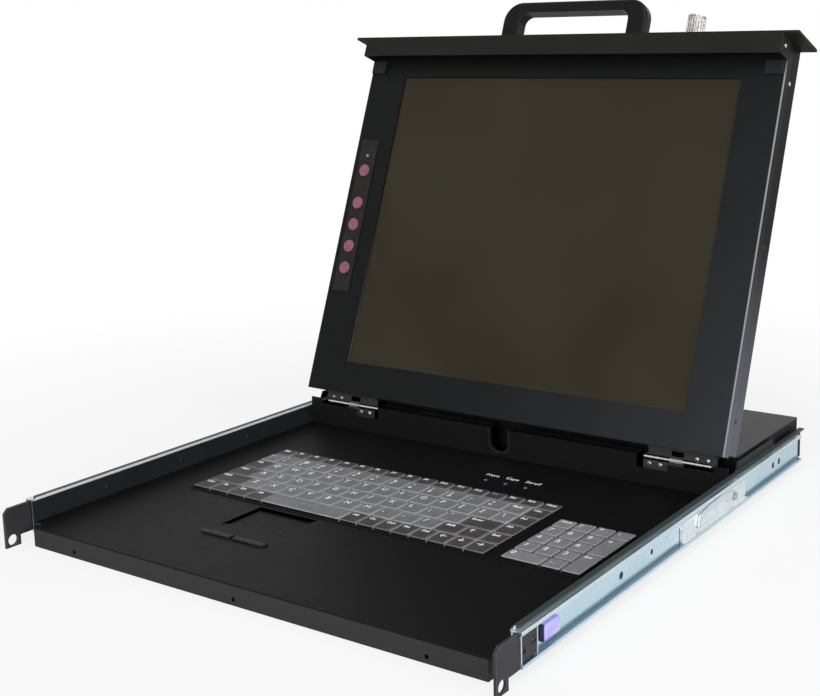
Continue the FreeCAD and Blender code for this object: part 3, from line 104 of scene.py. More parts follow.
class Finish:
    """A procedural material on one Principled shader, in object coordinates (metres).

    It's entered in FINISHES. Colours are given as 0-255 display values."""

    def __init__(self, name, roughness, metallic=0.0, specular=0.5, coat=0.0):
        material = bpy.data.materials.new(name)
        material.use_nodes = True
        FINISHES[name] = material
        self.tree = material.node_tree
        self.shader = self.tree.nodes["Principled BSDF"]
        self.shader.inputs["Roughness"].default_value = roughness
        self.shader.inputs["Metallic"].default_value = metallic
        self.shader.inputs["Specular IOR Level"].default_value = specular
        self.shader.inputs["Coat Weight"].default_value = coat
        self.place = self.add("ShaderNodeTexCoord").outputs["Object"]
        self.split = None

    def add(self, kind, **values):
        node = self.tree.nodes.new(kind)
        for name, value in values.items():
            setattr(node, name, value)
        return node

    def link(self, output, target):
        self.tree.links.new(output, target)

    def noise(self, size, detail, stretch=(1, 1, 1)):
        """Noise whose blobs are about size metres across, drawn out by stretch along each axis."""
        scaled = self.add("ShaderNodeMapping")
        scaled.inputs["Scale"].default_value = [1 / (size * s) for s in stretch]
        self.link(self.place, scaled.inputs["Vector"])
        noise = self.add("ShaderNodeTexNoise")
        noise.inputs["Scale"].default_value = 1
        noise.inputs["Detail"].default_value = detail
        self.link(scaled.outputs["Vector"], noise.inputs["Vector"])
        return noise.outputs["Fac"]

    # factors

    def axis(self, name):
        """One coordinate of the surface's place: X, Y or Z."""
        if not self.split:
            self.split = self.add("ShaderNodeSeparateXYZ")
            self.link(self.place, self.split.inputs["Vector"])
        return self.split.outputs[name]

    def ramp(self, value, zero_at, one_at, low=0.0, high=1.0):
        """low where value is at zero_at and high where it is at one_at, held beyond both."""
        spread = self.add("ShaderNodeMapRange")
        spread.inputs["From Min"].default_value = zero_at
        spread.inputs["From Max"].default_value = one_at
        spread.inputs["To Min"].default_value = low
        spread.inputs["To Max"].default_value = high
        self.link(value, spread.inputs["Value"])
        return spread.outputs["Result"]

    def times(self, first, second):
        """The product of two factors, or of a factor and a number."""
        return maths(self.tree, "MULTIPLY", first, second)

    def band(self, axis, start, full, fading, end):
        """Along an axis, a factor that rises from start to full and falls from fading to end."""
        return self.times(self.ramp(self.axis(axis), start, full),
                          self.ramp(self.axis(axis), end, fading))

    def facing(self, axis):
        """How squarely a face looks along an axis, either way: 0 to 1."""
        split = self.add("ShaderNodeSeparateXYZ")
        self.link(self.add("ShaderNodeNewGeometry").outputs["True Normal"], split.inputs["Vector"])
        return maths(self.tree, "ABSOLUTE", split.outputs[axis])

    def upright(self):
        """1 on upright faces, 0 on level ones."""
        return self.ramp(self.facing("Z"), 0.75, 0.45)

    # colour

    def colours(self, factor, low, high, start=0.35, end=0.65):
        """The surface's colour runs from low to high as factor does."""
        ramp = self.add("ShaderNodeValToRGB")
        ramp.color_ramp.elements[0].position = start
        ramp.color_ramp.elements[0].color = linear(*low)
        ramp.color_ramp.elements[1].position = end
        ramp.color_ramp.elements[1].color = linear(*high)
        self.link(factor, ramp.inputs["Fac"])
        self.link(ramp.outputs["Color"], self.shader.inputs["Base Color"])
        return ramp.outputs["Color"]

    def turned_to(self, colour, other, factor):
        """The colour turns to the other one as factor does."""
        mix = self.add("ShaderNodeMix", data_type="RGBA")
        self.link(factor, mix.inputs["Factor"])
        self.link(colour, mix.inputs["A"])
        mix.inputs["B"].default_value = linear(*other)
        self.link(mix.outputs["Result"], self.shader.inputs["Base Color"])
        return mix.outputs["Result"]

    def edge_wear_and_highlight(self, colour, edge_tone, radius, amount):
        """The colour turns to edge_tone where an edge is sharp: wear, and a painted highlight where
        edge_tone is far lighter than the colour.
        """
        bevel = self.add("ShaderNodeBevel", samples=4)
        bevel.inputs["Radius"].default_value = radius
        flat = self.add("ShaderNodeNewGeometry").outputs["True Normal"]
        dot = self.add("ShaderNodeVectorMath", operation="DOT_PRODUCT")
        self.link(bevel.outputs["Normal"], dot.inputs[0])
        self.link(flat, dot.inputs[1])
        self.turned_to(colour, edge_tone, self.ramp(dot.outputs["Value"], 0.99, 0.80, high=amount))

    def mottled(self, low, high):
        """The broad, faint unevenness of a paint's tone."""
        return self.colours(self.noise(45 * MM, 3), low, high)

    def bloom(self, low, high, along="Y"):
        """The cloudy tone of plating, drawn out along the sheet's rolling."""
        return self.colours(self.noise(20 * MM, 4, drawn_out(5, along)), low, high, 0.25, 0.75)

    def speckled(self, low, high):
        """The small unevenness of a plastic's tone."""
        return self.colours(self.noise(9 * MM, 3), low, high)

    # surface

    def roughness(self, factor, low, high):
        """The surface's roughness runs from low to high as factor does."""
        self.link(self.ramp(factor, 0.3, 0.7, low, high), self.shader.inputs["Roughness"])

    def bump(self, factor, height, strength):
        """The surface rises by up to height metres as factor does."""
        bump = self.add("ShaderNodeBump")
        bump.inputs["Strength"].default_value = strength
        bump.inputs["Distance"].default_value = height
        self.link(factor, bump.inputs["Height"])
        self.link(bump.outputs["Normal"], self.shader.inputs["Normal"])

    def coated(self, low, high):
        """The fine grain of a powder coat, as rough as low to high."""
        self.roughness(self.noise(12 * MM, 4), low, high)
        self.bump(self.noise(0.7 * MM, 3), 0.06 * MM, 0.55)

    def rolled(self, low, high, along="Y"):
        """Rolling lines, as rough as low to high."""
        self.roughness(self.noise(4 * MM, 3, drawn_out(8, along)), low, high)
        self.bump(self.noise(0.9 * MM, 2, drawn_out(30, along)), 0.03 * MM, 0.5)

    def grained(self, low, high, grain=0.5 * MM, height=0.03 * MM):
        """The spark-eroded grain of a mould, as rough as low to high."""
        self.roughness(self.noise(3 * MM, 3), low, high)
        self.bump(self.noise(grain, 2), height, 0.5)


PLATED = 0.9


def powder_coat(name, low, high, rough=0.5, specular=0.16, edge_wear_and_highlight_tone=(62, 64, 66),
                upright=None, cloud=0.06):
    """Fine-textured powder coat, a little uneven in tone, lighter on sharp edges: paint wear, and a
    painted highlight where the edge tone is far lighter than the coat.

    upright is the lighter tone of faces that stand upright and catch the light from the front;
    cloud is how far the roughness strays from rough."""
    paint = Finish(name, rough, specular=specular)
    tone = paint.mottled(low, high)
    if upright:
        tone = paint.turned_to(tone, upright, paint.upright())
    paint.edge_wear_and_highlight(tone, edge_wear_and_highlight_tone, 0.4 * MM, 0.4)
    paint.coated(rough - cloud, rough + cloud)


def zinc(name, low, high, rough):
    """Rolled and bright-plated sheet: lengthwise rolling lines and a faint cloudy bloom."""
    plate = Finish(name, rough, metallic=PLATED)
    plate.edge_wear_and_highlight(plate.bloom(low, high), (245, 248, 250), 0.3 * MM, 0.5)
    plate.rolled(rough - 0.07, rough + 0.1)


def rail_zinc():
    """The rack rail's plating: bright web, with painted shade, dark teal, in the groove above the
    lower hem.
    """
    plate = Finish("rail_steel", 0.26, metallic=PLATED)
    tone = plate.bloom((198, 222, 236), (222, 240, 250))
    # painted shade in the groove above the lower hem
    groove = plate.band("Z", 9.3 * MM, 9.6 * MM, 10.2 * MM, 13.2 * MM)
    tone = plate.turned_to(tone, (92, 122, 134), plate.times(groove, 0.85))
    plate.edge_wear_and_highlight(tone, (248, 250, 252), 0.3 * MM, 0.5)
    plate.rolled(0.19, 0.36)


def chassis_leaf_zinc():
    """The chassis leaf: dark plated plate, with a painted highlight, as bright as the rod, along
    its knuckle.
    """
    plate = Finish("leaf_steel", 0.36, metallic=PLATED)
    tone = plate.bloom((72, 74, 76), (92, 95, 97), "X")
    # painted highlight: a bright band along the knuckle
    knuckle = plate.ramp(plate.axis("Y"), 311.8 * MM, 313.2 * MM)
    tone = plate.turned_to(tone, (206, 204, 198), knuckle)
    plate.edge_wear_and_highlight(tone, (220, 220, 216), 0.3 * MM, 0.5)
    plate.rolled(0.3, 0.45, "X")


def side_wall_coat():
    """The side wall's coat, with a painted reflection along its rim and a near-white painted
    highlight along the rim's inner face.
    """
    paint = Finish("side_wall_paint", 0.45, specular=0.12)
    tone = paint.mottled((31, 32, 34), (35, 36, 38))
    rim = paint.band("Z", WALL_RIM - 2.0 * MM, WALL_RIM - 1.5 * MM,
                     WALL_RIM + 0.2 * MM, WALL_RIM + 0.5 * MM)
    from_middle = maths(paint.tree, "ABSOLUTE", paint.axis("X"))
    inner = paint.times(paint.ramp(from_middle, BESIDE_WALL + 0.2 * MM, BESIDE_WALL - 0.1 * MM),
                        paint.upright())
    # painted reflection: a grey-teal band along the rim
    tone = paint.turned_to(tone, (66, 76, 79), rim)
    # painted highlight: a near-white strip, in the tone of bright zinc, on the inner face under the
    # rim's top
    tone = paint.turned_to(tone, (214, 218, 218), paint.times(rim, inner))
    paint.edge_wear_and_highlight(tone, (96, 102, 104), 0.4 * MM, 0.3)
    paint.coated(0.4, 0.52)


def shaded_side(finish, tone):
    """The lid's side faces: dark at the top, catching light from the deck towards their foot."""
    sideways_faces = finish.ramp(finish.facing("X"), 0.85, 0.95)
    tone = finish.turned_to(tone, (19, 19, 21), sideways_faces)
    foot = finish.times(finish.ramp(finish.axis("Z"), 200 * MM, 60 * MM),
                        finish.times(sideways_faces, 0.8))
    finish.turned_to(tone, (98, 98, 108), foot)


def lid_cover_coat():
    """The lid's back cover, painted like the front panel."""
    paint = Finish("lid_cover_paint", 0.5, specular=0.08)
    shaded_side(paint, paint.mottled((30, 30, 28), (32, 32, 30)))
    paint.coated(0.48, 0.52)


def touchpad_rim_coat():
    """The touchpad's bevelled rim: the deck's tone, in deep shade along its rear and left sides."""
    low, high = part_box("touchpad_rim")
    shaded = 2.4 * MM
    fade = 0.3 * MM
    paint = Finish("rim_paint", 0.5)
    shade = paint.mottled((2, 2, 2), (3, 3, 3))
    lit = paint.times(
        paint.ramp(paint.axis("Y"), high.y - shaded, high.y - shaded - fade),
        paint.ramp(paint.axis("X"), low.x + shaded, low.x + shaded + fade))
    paint.turned_to(shade, (13, 13, 14), lit)
    paint.link(paint.times(lit, 0.09), paint.shader.inputs["Specular IOR Level"])
    paint.coated(0.48, 0.52)


def bezel_moulding():
    """The bezel's fine-grained plastic, with a painted reflection making it lighter and bluer
    towards its lower right.

    Its right edge has a painted highlight: a bright line below the skirt."""
    plastic = Finish("bezel_plastic", 0.42, specular=0.1)
    tone = plastic.speckled((15, 16, 16), (18, 19, 19))
    # painted reflection: lighter and bluer towards the lower right
    lower_right = maths(plastic.tree, "SUBTRACT", plastic.axis("X"), plastic.axis("Z"))
    painted_reflection = plastic.ramp(lower_right, -0.3, 0.15)
    tone = plastic.turned_to(tone, (45, 47, 50), plastic.times(painted_reflection, painted_reflection))
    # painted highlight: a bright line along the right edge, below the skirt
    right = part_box("lcd_bezel")[1].x
    edge = plastic.times(plastic.ramp(plastic.axis("X"), right - 1.4 * MM, right - 1.0 * MM),
                         plastic.ramp(plastic.axis("Z"), 346 * MM, 330 * MM))
    tone = plastic.turned_to(tone, (138, 142, 152), plastic.times(edge, 0.85))
    shaded_side(plastic, tone)
    plastic.grained(0.37, 0.49)


# painted light: light greys in the gaps between keys, also on the caps' skirts, so the shaded gaps
# show as light seams
KEY_GAP_PAINTED_LIGHT = {
    ("function_keys", "character_keys", "bottom_row_keys"): (168, 168, 172),
    ("numeric_keys",): (112, 112, 115),
}


def keyboard_moulding():
    """The keyboard's frame: as dark as the deck round the keys, with painted light, a light grey,
    in the gaps between them.
    """
    inset = 1.5 * MM
    fade = 0.1 * MM
    plastic = Finish("keyboard_frame", 0.5, specular=0.12)
    tone = plastic.speckled((15, 15, 16), (18, 18, 19))
    for groups, grey in KEY_GAP_PAINTED_LIGHT.items():
        boxes = [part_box(name) for name in groups]
        bands = []
        for index, axis in enumerate("XY"):
            low = min(box[0][index] for box in boxes) + inset
            high = max(box[1][index] for box in boxes) - inset
            bands.append(plastic.band(axis, low, low + fade, high - fade, high))
        tone = plastic.turned_to(tone, grey, plastic.times(*bands))
    plastic.grained(0.45, 0.57)


def moulded(name, low, high, rough=0.5, specular=0.4, **grain):
    """Moulded plastic with a fine spark-eroded grain."""
    plastic = Finish(name, rough, specular=specular)
    plastic.speckled(low, high)
    plastic.grained(rough - 0.05, rough + 0.07, **grain)


def glossy(name, low, high, rough=0.15, coat=0.3):
    """Polished or lacquered plastic with faint flow marks."""
    gloss = Finish(name, rough, coat=coat)
    gloss.colours(gloss.noise(3 * MM, 2), low, high)
    gloss.roughness(gloss.noise(2 * MM, 3), rough * 0.8, rough * 1.3)
    gloss.bump(gloss.noise(1.5 * MM, 2), 0.01 * MM, 0.3)


def polished(name, low, high, rough):
    """Ground and polished metal with fine turning lines."""
    metal = Finish(name, rough, metallic=1.0)
    metal.colours(metal.noise(3 * MM, 3), low, high)
    metal.roughness(metal.noise(1.2 * MM, 3), rough * 0.7, rough * 1.5)
    metal.bump(metal.noise(0.4 * MM, 2, drawn_out(6, "X")), 0.01 * MM, 0.4)


def screen_film():
    """Matt anti-glare film over a dark panel: brown-grey, with a very fine sparkle."""
    film = Finish("screen_surface", 0.36, specular=0.12)
    film.colours(film.noise(110 * MM, 1), (46, 41, 31), (50, 46, 35))
    film.roughness(film.noise(60 * MM, 2), 0.33, 0.39)
    film.bump(film.noise(0.25 * MM, 1), 0.008 * MM, 0.6)


def circuit():
    """Solder mask with the faint pattern of copper under it."""
    board = Finish("circuit_board", 0.35)
    board.colours(board.noise(3 * MM, 0, drawn_out(8)), (18, 70, 38), (30, 96, 52), 0.45, 0.55)
    board.roughness(board.noise(1 * MM, 2), 0.3, 0.45)
    board.bump(board.noise(2 * MM, 1, drawn_out(8)), 0.04 * MM, 0.6)


def make_finishes():
    """Every finish of the console."""
    powder_coat("black_paint", (13, 13, 14), (14, 14, 15), 0.5, 0.09,
                upright=(53, 53, 54), cloud=0.02)
    powder_coat("bulkhead_paint", (16, 16, 17), (18, 18, 19), 0.5, 0.07, upright=(25, 25, 26))
    touchpad_rim_coat()
    lid_cover_coat()
    side_wall_coat()
    powder_coat("cover_paint", (19, 19, 20), (20, 20, 21), 0.4, 0.24, cloud=0.02)
    powder_coat("panel_paint", (30, 30, 28), (33, 33, 30), 0.5, 0.08, cloud=0.02)
    # the ear's near-white edge tone is a painted highlight along its edges
    powder_coat("ear_paint", (45, 44, 48), (52, 51, 55), 0.42, 0.25, (170, 172, 176))
    zinc("zinc_steel", (204, 222, 232), (228, 240, 246), 0.26)
    zinc("lock_steel", (226, 232, 234), (244, 247, 248), 0.3)
    zinc("lever_steel", (206, 216, 220), (232, 238, 240), 0.26)
    polished("screw_steel", (176, 176, 172), (206, 206, 200), 0.3)
    polished("black_screw", (52, 52, 54), (74, 74, 76), 0.35)
    moulded("lavender_plastic", (168, 160, 236), (188, 182, 250), 0.4, specular=0.5)
    # painted shade for the stops' front faces
    moulded("stop_front_shade_paint", (44, 46, 66), (54, 56, 78), 0.6, specular=0.2)
    moulded("cage_plastic", (212, 212, 204), (226, 226, 220), 0.45)
    polished("ball_steel", (200, 200, 200), (228, 228, 228), 0.08)
    moulded("edging_plastic", (26, 26, 28), (34, 34, 36), 0.36, specular=0.35)
    chassis_leaf_zinc()
    powder_coat("lid_leaf_steel", (44, 44, 46), (52, 52, 54), 0.4, 0.3, (84, 84, 86))
    rail_zinc()
    polished("rod_steel", (206, 204, 198), (234, 233, 228), 0.2)
    moulded("port_plastic", (18, 18, 19), (24, 24, 25), 0.4)
    polished("contact_metal", (206, 176, 110), (232, 204, 140), 0.25)
    moulded("insert_plastic", (46, 62, 110), (56, 72, 122), 0.45)
    circuit()
    zinc("supply_case", (176, 178, 180), (200, 202, 204), 0.38)
    keyboard_moulding()
    moulded("key_grey", (114, 115, 118), (126, 127, 130), specular=0.14)
    moulded("key_light", (128, 128, 131), (140, 140, 143), specular=0.14)
    moulded("key_dark", (68, 66, 66), (78, 76, 76), specular=0.1)
    # painted highlights: the caps' lighter shoulders, on light and on dark keys
    moulded("key_edge_highlight", (150, 150, 152), (160, 160, 162), specular=0.2)
    moulded("dark_key_edge_highlight", (104, 102, 102), (114, 112, 112), specular=0.2)
    moulded("legend_ink", (238, 240, 241), (250, 251, 252))
    moulded("sign_ink", (214, 176, 196), (226, 190, 208))
    moulded("blue_ink", (96, 150, 200), (110, 166, 214))
    moulded("touch_plastic", (22, 22, 23), (26, 26, 27), 0.44, specular=0.14)
    moulded("pad_plastic", (14, 14, 15), (15, 15, 16), specular=0.09,
            grain=1 * MM, height=0.01 * MM)
    glossy("light_lens", (116, 124, 112), (136, 144, 130))
    bezel_moulding()
    screen_film()
    zinc("module_metal", (168, 170, 172), (190, 192, 194), 0.4)
    moulded("strip_film", (32, 31, 28), (39, 38, 35), 0.4, specular=0.12)
    glossy("button_plastic", (124, 66, 96), (146, 84, 116), 0.28, 0.1)
    moulded("pad_rubber", (26, 28, 32), (34, 36, 40), 0.7, specular=0.2)
    # the handle's light edge tone is a painted highlight along its rounded edges
    powder_coat("handle_paint", (13, 14, 14), (17, 18, 18), 0.2, 0.14, (120, 124, 122))
    polished("knob_chrome", (150, 149, 146), (188, 187, 184), 0.24)
    # painted shade behind the rail's holes
    moulded("hole_shade_black", (14, 14, 15), (20, 20, 21), 0.6)


OTHER_FINISH = {
    "rear_cover": "cover_paint",
    "rack_rail_right": "rail_steel",
    "rack_rail_left": "rail_steel",
    "side_wall_right": "side_wall_paint",
    "side_wall_left": "side_wall_paint",
    "wall_rivets": "side_wall_paint",
    "lcd_leaves": "lid_leaf_steel",
    "numeric_keys": "key_light",
    "lcd_back_cover": "lid_cover_paint",
    "bulkhead": "bulkhead_paint",
    "rear_housing": "bulkhead_paint",
    "touchpad_rim": "rim_paint",
    "touchpad": "pad_plastic",
}
SHEET_EDGE = 0.3 * MM
PLATE_EDGE = 0.15 * MM
HANDLE_EDGE = 2.2 * MM
MOULDED_EDGE = 0.35 * MM


def round_edges(name, width, segments=2):
    """Rounds a CAD node's sharp edges, as a press brake, a mould or a file does."""
    bevel = NODES[name].modifiers.new("edges", "BEVEL")
    bevel.width = width
    bevel.segments = segments
    bevel.limit_method = "ANGLE"
    bevel.angle_limit = math.radians(40)
    bevel.harden_normals = True
    bevel.use_clamp_overlap = True


def finish_of(node):
    """The finish of a CAD node: its slot's, or its own where the slot's pieces differ."""
    return FINISHES[OTHER_FINISH.get(node, SLOTS[node])]


def dress_nodes():
    """Gives every CAD node its finish, and sheet and moulded pieces softly broken edges."""
    for name, node in NODES.items():
        node.data.materials.clear()
        node.data.materials.append(finish_of(name))
    for name in ("front_panel", "panel_skirt", "lcd_bezel", "lcd_back_cover", "tray_pan",
                 "bulkhead", "rear_housing", "rear_cover", "rear_panel", "rack_ear_right",
                 "rack_ear_left"):
        round_edges(name, SHEET_EDGE)
    for name in ("side_wall_right", "side_wall_left", "rack_rail_right", "rack_rail_left",
                 "slide_member_right", "slide_member_left", "lock_plates", "release_lever_right",
                 "release_lever_left", "lcd_leaves", "chassis_leaves", "hinge_rods"):
        round_edges(name, PLATE_EDGE)
    round_edges("handle", HANDLE_EDGE, 4)
    for name in ("corner_pads", "slide_stops", "button_strip", "rear_ports", "notch_grommet"):
        round_edges(name, MOULDED_EDGE)


# ---------------------------------------------------------------- small mesh tools

UP = Vector((0, 0, 1))


def new_object(name, data):
    """A new object on the data, in the scene."""
    thing = bpy.data.objects.new(name, data)
    bpy.context.collection.objects.link(thing)
    return thing


def islands(name):
    """The boxes (low corner, high corner) of a CAD node's separate solids, in the mesh's order."""
    work = bmesh.new()
    work.from_mesh(NODES[name].data)
    bmesh.ops.remove_doubles(work, verts=work.verts, dist=1e-6)
    unseen = set(work.verts)
    boxes = []
    for first in work.verts:
        if first not in unseen:
            continue
        unseen.remove(first)
        reached = [first]
        low = first.co.copy()
        high = first.co.copy()
        while reached:
            vertex = reached.pop()
            low = Vector(map(min, low, vertex.co))
            high = Vector(map(max, high, vertex.co))
            for edge in vertex.link_edges:
                other = edge.other_vert(vertex)
                if other in unseen:
                    unseen.remove(other)
                    reached.append(other)
        boxes.append((low, high))
    work.free()
    return boxes


def piece(name, work, material, body, smooth=None):
    """A mesh object from a bmesh, riding on a CAD body.

    smooth is the angle, in degrees, up to which its edges are soft."""
    mesh = bpy.data.meshes.new(name)
    bmesh.ops.recalc_face_normals(work, faces=work.faces)
    work.to_mesh(mesh)
    work.free()
    thing = new_object(name, mesh)
    mesh.materials.append(material)
    if smooth is not None:
        mesh.shade_smooth()
        mesh.set_sharp_from_angle(angle=math.radians(smooth))
    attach(thing, body)
    return thing


def rounded_ring(low, high, inset, radius, level, steps=4):
    """The points of a rectangle with rounded corners, drawn in by inset, at height level."""
    left, front = low[0] + inset, low[1] + inset
    right, back = high[0] - inset, high[1] - inset
    points = []
    corners = ((right, back, 0), (left, back, 90), (left, front, 180), (right, front, 270))
    for x, y, start in corners:
        cx = x - math.copysign(radius, x - (left + right) / 2)
        cy = y - math.copysign(radius, y - (front + back) / 2)
        for step in range(steps + 1):
            turn = math.radians(start + 90 * step / steps)
            points.append(Vector((cx + radius * math.cos(turn),
                                  cy + radius * math.sin(turn), level)))
    return points


def loft(work, rings, materials=None):
    """Skins a row of rings with as many points each, and closes its ends.

    materials gives each band's material number."""
    rows = [[work.verts.new(point) for point in ring] for ring in rings]
    count = len(rows[0])
    for band, (lower, upper) in enumerate(zip(rows, rows[1:])):
        for index in range(count):
            after = (index + 1) % count
            face = work.faces.new((lower[index], lower[after], upper[after], upper[index]))
            if materials:
                face.material_index = materials[band]
    work.faces.new(list(reversed(rows[0])))
    work.faces.new(rows[-1])


def lathe(work, place, outward, profile, steps):
    """Turns a profile of (radius, height) pairs round the axis through place along outward."""
    turn = outward.to_track_quat("Z", "Y").to_matrix()
    rings = []
    for radius, height in profile:
        ring = []
        for step in range(steps):
            angle = 2 * math.pi * step / steps
            spoke = Vector((radius * math.cos(angle), radius * math.sin(angle), height))
            ring.append(place + turn @ spoke)
        rings.append(ring)
    loft(work, rings)


# ---------------------------------------------------------------- keyboard

# a key cap from its foot to the middle of its dish, all in mm:
# how far each ring is drawn in, its corner radius and its depth under the key's top
CAP_RINGS = ((0, 0.9, 4.2), (0.05, 0.9, 2.8), (0.45, 1.0, 0.75), (0.65, 1.0, 0.2),
             (0.95, 1.0, 0), (1.5, 1.0, 0.06), (3.0, 0.8, 0.2), (4.6, 0.5, 0.28))
TOP, SKIRT, RIM = 0, 1, 2
CAP_BANDS = (SKIRT, SKIRT, RIM, RIM, TOP, TOP, TOP)

LETTER_SIZE = 7.2 * MM
WORD_SIZE = 4.4 * MM
PAIR_SIZE = 5.2 * MM
LEGEND_LEFT = 3.0 * MM
LEGEND_TOP = 2.4 * MM
LEGEND_SINK = 0.03 * MM
LEGEND_BOLD = 0.16 * MM
# a capital's height and the distance between two lines, in sizes
CAPITAL = 0.72
LINE_PITCH = 1.06


def key_boxes(name):
    """A key group's boxes, sorted into rows from the back, each row from the left."""
    return sorted(islands(name), key=lambda box: (-round(box[1].y, 4), box[0].x))


def cap(work, low, high):
    """One key cap: tapered sides, rounded shoulders and a shallow dish in its top."""
    rings = [rounded_ring(low, high, inset * MM, radius * MM, high.z - depth * MM)
             for inset, radius, depth in CAP_RINGS]
    loft(work, rings, CAP_BANDS)


def text_mesh(words, size, bold):
    """Words as a thin solid, upright on the XY plane from its origin, strokes widened by bold."""
    curve = bpy.data.curves.new("words", "FONT")
    curve.body = words
    curve.size = size
    curve.offset = bold
    curve.extrude = 0.04 * MM
    curve.resolution_u = 3
    holder = new_object("words", curve)
    mesh = bpy.data.meshes.new_from_object(holder)
    bpy.data.objects.remove(holder)
    bpy.data.curves.remove(curve)
    return mesh


def write(work, words, size, place, bold, turn=None):
    """Adds words to a bmesh, their lower left corner at place, or turned about their middle."""
    mesh = text_mesh(words, size, bold)
    move = Matrix.Translation(place)
    if turn is not None:
        xs = [v.co.x for v in mesh.vertices]
        ys = [v.co.y for v in mesh.vertices]
        middle = Vector(((min(xs) + max(xs)) / 2, (min(ys) + max(ys)) / 2, 0))
        move = move @ turn.to_4x4() @ Matrix.Translation(-middle)
    mesh.transform(move)
    work.from_mesh(mesh)
    bpy.data.meshes.remove(mesh)


def label_key(work, box, words):
    """Writes a key's legend at its upper left; two lines where a key has two signs."""
    low, high = box
    lines = words.split("\n")
    if len(lines) > 1:
        size = PAIR_SIZE
    else:
        size = LETTER_SIZE if len(words) == 1 else WORD_SIZE
    place = Vector((low.x + LEGEND_LEFT, high.y - LEGEND_TOP - size * CAPITAL,
                    high.z - LEGEND_SINK))
    for line in lines:
        write(work, line, size, place, LEGEND_BOLD)
        place.y -= size * LINE_PITCH


def key_group(node, legends, dark=(), blue=()):
    """Caps and legends for one CAD key group; dark and blue are key numbers."""
    boxes = key_boxes(node)
    shades = {"light": [], "dark": []}
    for number, box in enumerate(boxes):
        shades["dark" if number in dark else "light"].append(box)
    replaced = False
    for shade, members in shades.items():
        if not members:
            continue
        work = bmesh.new()
        for low, high in members:
            cap(work, low, high)
        finish = FINISHES["key_dark"] if shade == "dark" else finish_of(node)
        caps = piece(f"{node}_caps_{shade}", work, finish, node, 45)
        # the caps' skirts take the frame's finish, with the painted light of the gaps
        caps.data.materials.append(FINISHES["keyboard_frame"])
        # the shoulders take a lighter finish: a painted highlight on the caps' rounded edges
        caps.data.materials.append(FINISHES["dark_key_edge_highlight" if shade == "dark" else "key_edge_highlight"])
        if not replaced:
            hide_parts(node)
            replaced = True
    for ink in ("white", "blue"):
        work = bmesh.new()
        for number, (box, words) in enumerate(zip(boxes, legends)):
            if words and (number in blue) == (ink == "blue"):
                label_key(work, box, words)
        if work.verts:
            finish = FINISHES["legend_ink" if ink == "white" else "blue_ink"]
            piece(f"{node}_legends_{ink}", work, finish, node)
        else:
            work.free()


def keyboard():
    """All the key groups, with a plain letter layout."""
    top = ["Esc"] + [f"F{number}" for number in range(1, 13)] + ["Prt", "Scr", "Brk", "Num"]
    key_group("function_keys", top, dark=range(17), blue=(13,))
    digits = [f"{upper}\n{lower}" for upper, lower in zip("!@#$%^&*()_+", "1234567890-=")]
    rows = ["~\n`"] + digits + ["Back", "Hm"]
    rows += ["Tab"] + list("QWERTYUIOP[]") + ["\\", "PU"]
    rows += ["Caps"] + list("ASDFGHJKL;'") + ["Enter", "PD"]
    rows += ["Shift"] + list("ZXCVBNM,./") + ["Shift", "↑", "End"]
    right_ends = [14, 29, 43, 57]
    tab, caps, shift = 15, 30, 44
    enter, right_shift, up = 42, 55, 56
    dark = right_ends + [tab, caps, shift, enter, right_shift, up]
    key_group("character_keys", rows, dark)
    bottom = ["Ctrl", "Fn", "Sys", "Alt", "Alt", "Cx", "Ctrl", "Ins", "Del", "←", "↓", "→"]
    key_group("bottom_row_keys", bottom, dark=range(12))
    key_group("space_bar", [""])
    pad = ["Num", "/", "*", "-", "7", "8", "9", "+", "4", "5", "6", "1", "2", "3", "Ent", "0", "."]
    key_group("numeric_keys", pad)


# ---------------------------------------------------------------- printed signs

SIGN_WORD, SIGN_ARROW, SIGN_BOLD = 3.6 * MM, 6.0 * MM, 0.1 * MM
CAPTION_SIZE, CAPTION_BOLD = 6.2 * MM, 0.05 * MM
# where a caption starts, from its light's left rear corner
CAPTION_PLACE = Vector((-5.5 * MM, 8.6 * MM, 0.02 * MM))


def button_signs():
    """Small pale signs on the four menu buttons: a word, two arrows and a word."""
    back, rise = math.sin(LID_LEAN), math.cos(LID_LEAN)
    turn = Matrix((Vector((1, 0, 0)), Vector((0, back, rise)), LID_FRONT)).transposed()
    for letter, words in zip("abcd", ("menu", "▲", "▼", "auto")):
        node = "menu_button_" + letter
        low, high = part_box(node)
        size = high - low
        # the leaning button's own height and thickness, out of its upright box
        tall = (size.z * rise - size.y * back) / math.cos(2 * LID_LEAN)
        thick = (size.y - tall * back) / rise
        work = bmesh.new()
        place = (low + high) / 2 + LID_FRONT * (thick / 2 + 0.01 * MM)
        write(work, words, SIGN_WORD if len(words) > 1 else SIGN_ARROW, place, SIGN_BOLD, turn)
        piece(node + "_sign", work, FINISHES["sign_ink"], node)


def captions():
    """The three words behind the lock lights, printed on the deck."""
    lights = sorted(islands("lock_lights"), key=lambda box: box[0].x)
    work = bmesh.new()
    for words, (low, high) in zip(("Num", "Caps", "Scroll"), lights):
        corner = Vector((low.x, high.y, high.z))
        write(work, words, CAPTION_SIZE, corner + CAPTION_PLACE, CAPTION_BOLD)
    piece("lock_captions", work, FINISHES["legend_ink"], "drawer")


# ---------------------------------------------------------------- screws

DOME_STEPS = 5
# how far each cross is turned from the one before, in degrees
NEXT_CROSS = 37
# the screw in the skirt's end: its radius and rise, and its place from the skirt's low corner
SKIRT_SCREW = (2.0 * MM, 0.9 * MM)
SKIRT_SCREW_PLACE = (10.4 * MM, 11 * MM)


def sideways(centre):
    """Outwards, away from the middle."""
    return Vector((math.copysign(1, centre.x), 0, 0))


def inwards(centre):
    """Towards the middle."""
    return -sideways(centre)


def forwards(_centre):
    """Towards the front of the drawer."""
    return Vector((0, -1, 0))


